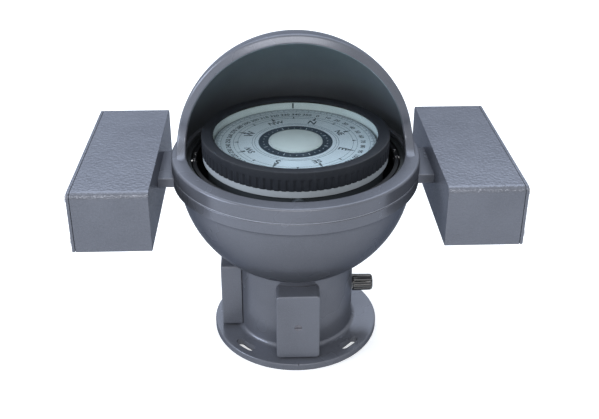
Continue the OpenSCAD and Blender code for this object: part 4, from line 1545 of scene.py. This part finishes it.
@dataclass
class CompassCard:
    """The floating card with its print."""

    north_deg: float = 22.5
    print_t: float = 0.06
    tick_r: float = 64.0
    tick_lengths: tuple[float, ...] = (2.2, 3.2, 4.2)
    tick_widths: tuple[float, ...] = (0.28, 0.42, 0.42)
    numeral_r: float = 53.6
    numeral_h: float = 3.7
    letter_r: float = 39.0
    letter_h: float = 6.6
    pair_share: float = 0.78
    capital_share: float = 0.7
    boldness: float = 0.03
    circles_r: tuple[float, ...] = (64.6, 59.4, 49.4, 46.0, 34.6, 32.6)
    circle_w: float = 0.24
    edge_line_w: float = 0.6
    ray_r: Point = (43.2, 49.2)
    ray_w: Point = (2.6, 0.4)
    dart_r: Point = (45.4, 49.0)
    dart_w: float = 2.0
    dark_ring_r: Point = (21.6, 29.6)
    ring_marks: int = 32
    ring_mark_lengths: Point = (1.1, 3.0)
    ring_mark_w: float = 0.56
    letters: tuple[str, ...] = ("N", "NE", "E", "SE", "S", "SW", "W", "NW")
    top: float = field(default_factory=lambda: span("compass_card")[1].z)

    def build(self) -> None:
        """Dresses the card and prints its ring, ticks, numerals and letters."""
        dress(CARD_FILM, "card_film", "compass_card")
        dress(OPAL, "opal_plastic", "card_dome")
        dress(FLOAT_CREAM, "cream_plastic", "card_float")
        dress(JEWEL, "jewel", "card_cap")
        dress(MAGNET_GREY, "magnet_grey", "card_magnets")
        layers = (
            ("card_degree_ticks", self._ticks(), INK_BLACK), ("card_circles", self._circles(), INK_BLACK),
            ("card_numerals", self._numerals(), INK_BLACK), ("card_letters", self._letters(), INK_BLACK),
            ("card_points", self._points(), INK_BLACK),
            ("card_dark_ring", self._ring(*self.dark_ring_r), INK_NAVY),
            ("card_ring_marks", self._ring_marks(), INK_PALE))
        for name, form, ink in layers:
            Piece(name, form, "card", "card_film", (ink,)).make()

    def _heading(self, bearing_deg: float) -> float:
        """Gives the angle from +X of a bearing on the card, in radians."""
        return math.radians(90 - bearing_deg - self.north_deg)

    def _pitch(self) -> float:
        """Gives the angle between two lettered points, in degrees."""
        return 360 / len(self.letters)

    def _stamp(self, outline: Sequence[Point], bearing_deg: float, lift: float = 0.0) -> Form:
        """Prints an outline.

        Args:
            outline: Its points, drawn along +X.
            bearing_deg: Bearing that it stands at.
            lift: Its height over the card's face.

        Returns:
            The printed form.
        """
        low = self.top + lift
        return Form().extrude(outline, low, low + self.print_t, Axis.Z).spun(self._heading(bearing_deg))

    def _bar(self, reach: Point, width: float, bearing_deg: float, lift: float = 0.0) -> Form:
        """Prints a bar that points at the card's middle.

        Args:
            reach: Distances of its ends from the card's axis.
            width: Its width.
            bearing_deg: Bearing that it stands at.
            lift: Its height over the card's face.

        Returns:
            The bar.
        """
        return self._stamp(rectangle((reach[0], -width / 2), (reach[1], width / 2)), bearing_deg, lift)

    def _ring(self, low_r: float, high_r: float) -> Form:
        """Prints a ring between two radii."""
        return Form().revolve(rectangle((low_r, self.top), (high_r, self.top + self.print_t)))

    def _ticks(self) -> Form:
        """Prints a tick for each degree, longer at 5 and 10 degrees.

        Returns:
            The ticks.
        """
        form = Form()
        for degree in range(360):
            rank = 2 if degree % 10 == 0 else 1 if degree % 5 == 0 else 0
            reach = (self.tick_r - self.tick_lengths[rank], self.tick_r)
            form.join(self._bar(reach, self.tick_widths[rank], degree))
        return form

    def _circles(self) -> Form:
        """Prints the thin circles between the scales and the broader one at the card's edge.

        Returns:
            The circles.
        """
        form = Form()
        for radius in self.circles_r:
            half = (self.edge_line_w if radius == max(self.circles_r) else self.circle_w) / 2
            form.join(self._ring(radius - half, radius + half))
        return form

    def _numerals(self) -> Form:
        """Prints the bearings every ten degrees.

        Returns:
            The figures.
        """
        form = Form()
        for degree in range(0, 360, 10):
            form.join(self._words(str(degree), self.numeral_h, self.numeral_r, degree))
        return form

    def _letters(self) -> Form:
        """Prints the letters of the eight chief points.

        Returns:
            The letters.
        """
        form = Form()
        for number, letters in enumerate(self.letters):
            height = self.letter_h if len(letters) == 1 else self.letter_h * self.pair_share
            form.join(self._words(letters, height, self.letter_r, number * self._pitch()))
        return form

    def _points(self) -> Form:
        """Prints the rays at the letters and the small darts between them.

        Returns:
            The rays and darts.
        """
        form = Form()
        (ray_low, ray_high), (dart_low, dart_high) = self.ray_r, self.dart_r
        wide, narrow = (width / 2 for width in self.ray_w)
        half = self.dart_w / 2
        ray = [(ray_low, -wide), (ray_high, -narrow), (ray_high, narrow), (ray_low, wide)]
        dart = [(dart_low, -half), (dart_high, 0.0), (dart_low, half)]
        for number in range(len(self.letters)):
            form.join(self._stamp(ray, number * self._pitch()))
            form.join(self._stamp(dart, (number + 0.5) * self._pitch()))
        return form

    def _ring_marks(self) -> Form:
        """Prints small pale ticks on the dark ring, every fourth one longer.

        Returns:
            The ticks.
        """
        form = Form()
        middle = sum(self.dark_ring_r) / 2
        short, long = self.ring_mark_lengths
        for number in range(self.ring_marks):
            half = (short if number % 4 else long) / 2
            bearing = number * 360 / self.ring_marks
            form.join(self._bar((middle - half, middle + half), self.ring_mark_w, bearing, self.print_t))
        return form

    def _words(self, words: str, height: float, radius: float, bearing_deg: float) -> Form:
        """Prints figures or letters, their heads outwards.

        Args:
            words: What to print.
            height: Height of a capital.
            radius: Distance of their middle from the card's axis.
            bearing_deg: Bearing that they stand at.

        Returns:
            The printed words.
        """
        curve = bpy.data.curves.new("words", "FONT")
        curve.body = words
        curve.size = height / self.capital_share
        curve.align_x = "CENTER"
        curve.align_y = "CENTER"
        curve.extrude = self.print_t / 2
        curve.offset = height * self.boldness
        curve.resolution_u = 3
        holder = link("words", curve)
        mesh = settled(holder)
        form = Form()
        lift = Vector((0, radius, self.top + self.print_t / 2))
        form.points = [vertex.co + lift for vertex in mesh.vertices]
        form.faces = [tuple(polygon.vertices) for polygon in mesh.polygons]
        form.marks = [0] * len(form.faces)
        bpy.data.objects.remove(holder)
        bpy.data.curves.remove(curve)
        bpy.data.meshes.remove(mesh)
        return form.spun(self._heading(bearing_deg) - QUARTER)


@dataclass(frozen=True)
class Lamp:
    """A soft lamp, with its place and size in metres and its power in watts."""

    name: str
    place: Place
    size: Point
    power: float
    colour: Colour

    def hang(self, target: Vector) -> None:
        """Hangs the lamp.

        Args:
            target: The point that it faces.
        """
        data = bpy.data.lights.new(self.name, "AREA")
        data.shape = "RECTANGLE"
        data.size, data.size_y = self.size
        data.energy = self.power
        data.color = self.colour
        aim(link(self.name, data), Vector(self.place), target)


LAMPS = (
    Lamp("key_lamp", (-0.1, -1.4, 1.15), (1.4, 0.3), 9.0, (1.0, 0.98, 0.95)),
    Lamp("rear_lamp", (0.15, 1.1, 1.5), (2.2, 1.2), 22.0, (0.8, 0.88, 1.0)),
    Lamp("top_lamp", (0.0, 0.3, 1.9), (1.2, 0.8), 5.0, (0.85, 0.91, 1.0)),
    Lamp("left_lamp", (-1.3, -0.35, 0.68), (0.8, 0.6), 11.0, (0.8, 0.87, 1.0)))


@dataclass
class Studio:
    """Floor, world, lamps and the camera at the photograph's view."""

    image_width: float = 599.0
    image_height: float = 419.0
    focal_px: float = 853.3
    middle_px: Point = (295.54, 156.62)
    sensor_mm: float = 36.0
    azimuth_deg: float = -2.0
    elevation_deg: float = 26.04
    distance: float = 0.686
    target: Vector = field(default_factory=lambda: Vector((0.0, 0.0, 0.1592)))
    ambient: float = 0.6
    sky: Colour = (0.84, 0.9, 1.0)
    floor_r: float = 4000.0
    floor_t: float = 2.0
    floor_glow: float = 0.5
    floor_bounce: Colour = (0.2, 0.2, 0.2)

    def build(self) -> None:
        """Sets up the whole studio."""
        bpy.context.scene.view_settings.view_transform = "Standard"
        self._camera()
        self._world()
        self._floor()
        for lamp in LAMPS:
            lamp.hang(self.target)

    def _camera(self) -> None:
        """Places the camera."""
        azimuth = math.radians(self.azimuth_deg)
        elevation = math.radians(self.elevation_deg)
        back = Vector((math.sin(azimuth) * math.cos(elevation), -math.cos(azimuth) * math.cos(elevation),
                       math.sin(elevation)))
        data = bpy.data.cameras.new("photo_camera")
        data.sensor_width = self.sensor_mm
        data.lens = self.focal_px / self.image_width * self.sensor_mm
        data.shift_x = (self.image_width / 2 - self.middle_px[0]) / self.image_width
        data.shift_y = (self.middle_px[1] - self.image_height / 2) / self.image_width
        camera = link("photo_camera", data)
        aim(camera, self.target + back * self.distance, self.target)
        bpy.context.scene.camera = camera

    def _world(self) -> None:
        """Makes the world white for the camera and softer for the object."""
        world = bpy.data.worlds.new("studio_world")
        tree = ShaderTree(world)
        soft, white = (
            tree.node("ShaderNodeBackground", None, {"Color": colour, "Strength": strength}).outputs[0]
            for colour, strength in ((self.sky, self.ambient), (WHITE, 1.0)))
        tree.show(tree.mixed(tree.seen(), soft, white))
        bpy.context.scene.world = world

    def _floor(self) -> None:
        """Makes the pale floor, which keeps the object's shadow."""
        paint = bpy.data.materials.new("studio_floor")
        tree = ShaderTree(paint)
        cloud = tree.noise(0.004, 2.0)
        pale = tree.blend(cloud * 0.2, (0.86, 0.87, 0.88), (0.82, 0.83, 0.84))
        glowing = tree.principled(base_color=pale, roughness=0.9, emission_color=WHITE,
                                  emission_strength=self.floor_glow)
        dim = tree.principled(base_color=self.floor_bounce, roughness=0.9)
        tree.show(tree.mixed(tree.seen(), dim, glowing))
        form = Form().revolve(rectangle((0.0, -self.floor_t), (self.floor_r, 0.0)), segments=96)
        floor = link("studio_floor", form.mesh("studio_floor"))
        floor.data.materials.append(paint)


def main() -> None:
    logging.basicConfig(level=logging.INFO, format="%(name)s: %(message)s")
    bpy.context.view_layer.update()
    assemblies = [Pedestal(), Housing(), Hood(), Dimmer(), GimballedBowl(), CompassCard()]
    assemblies += [CorrectorBox(side) for side in Side]
    for assembly in [Studio(), *assemblies]:
        LOG.info("building %s", type(assembly).__name__)
        assembly.build()
    dress(SCREW_STEEL, "screw_metal", "arm_screws", "box_screws", "end_plate_screws")


if __name__ == "__main__":
    main()
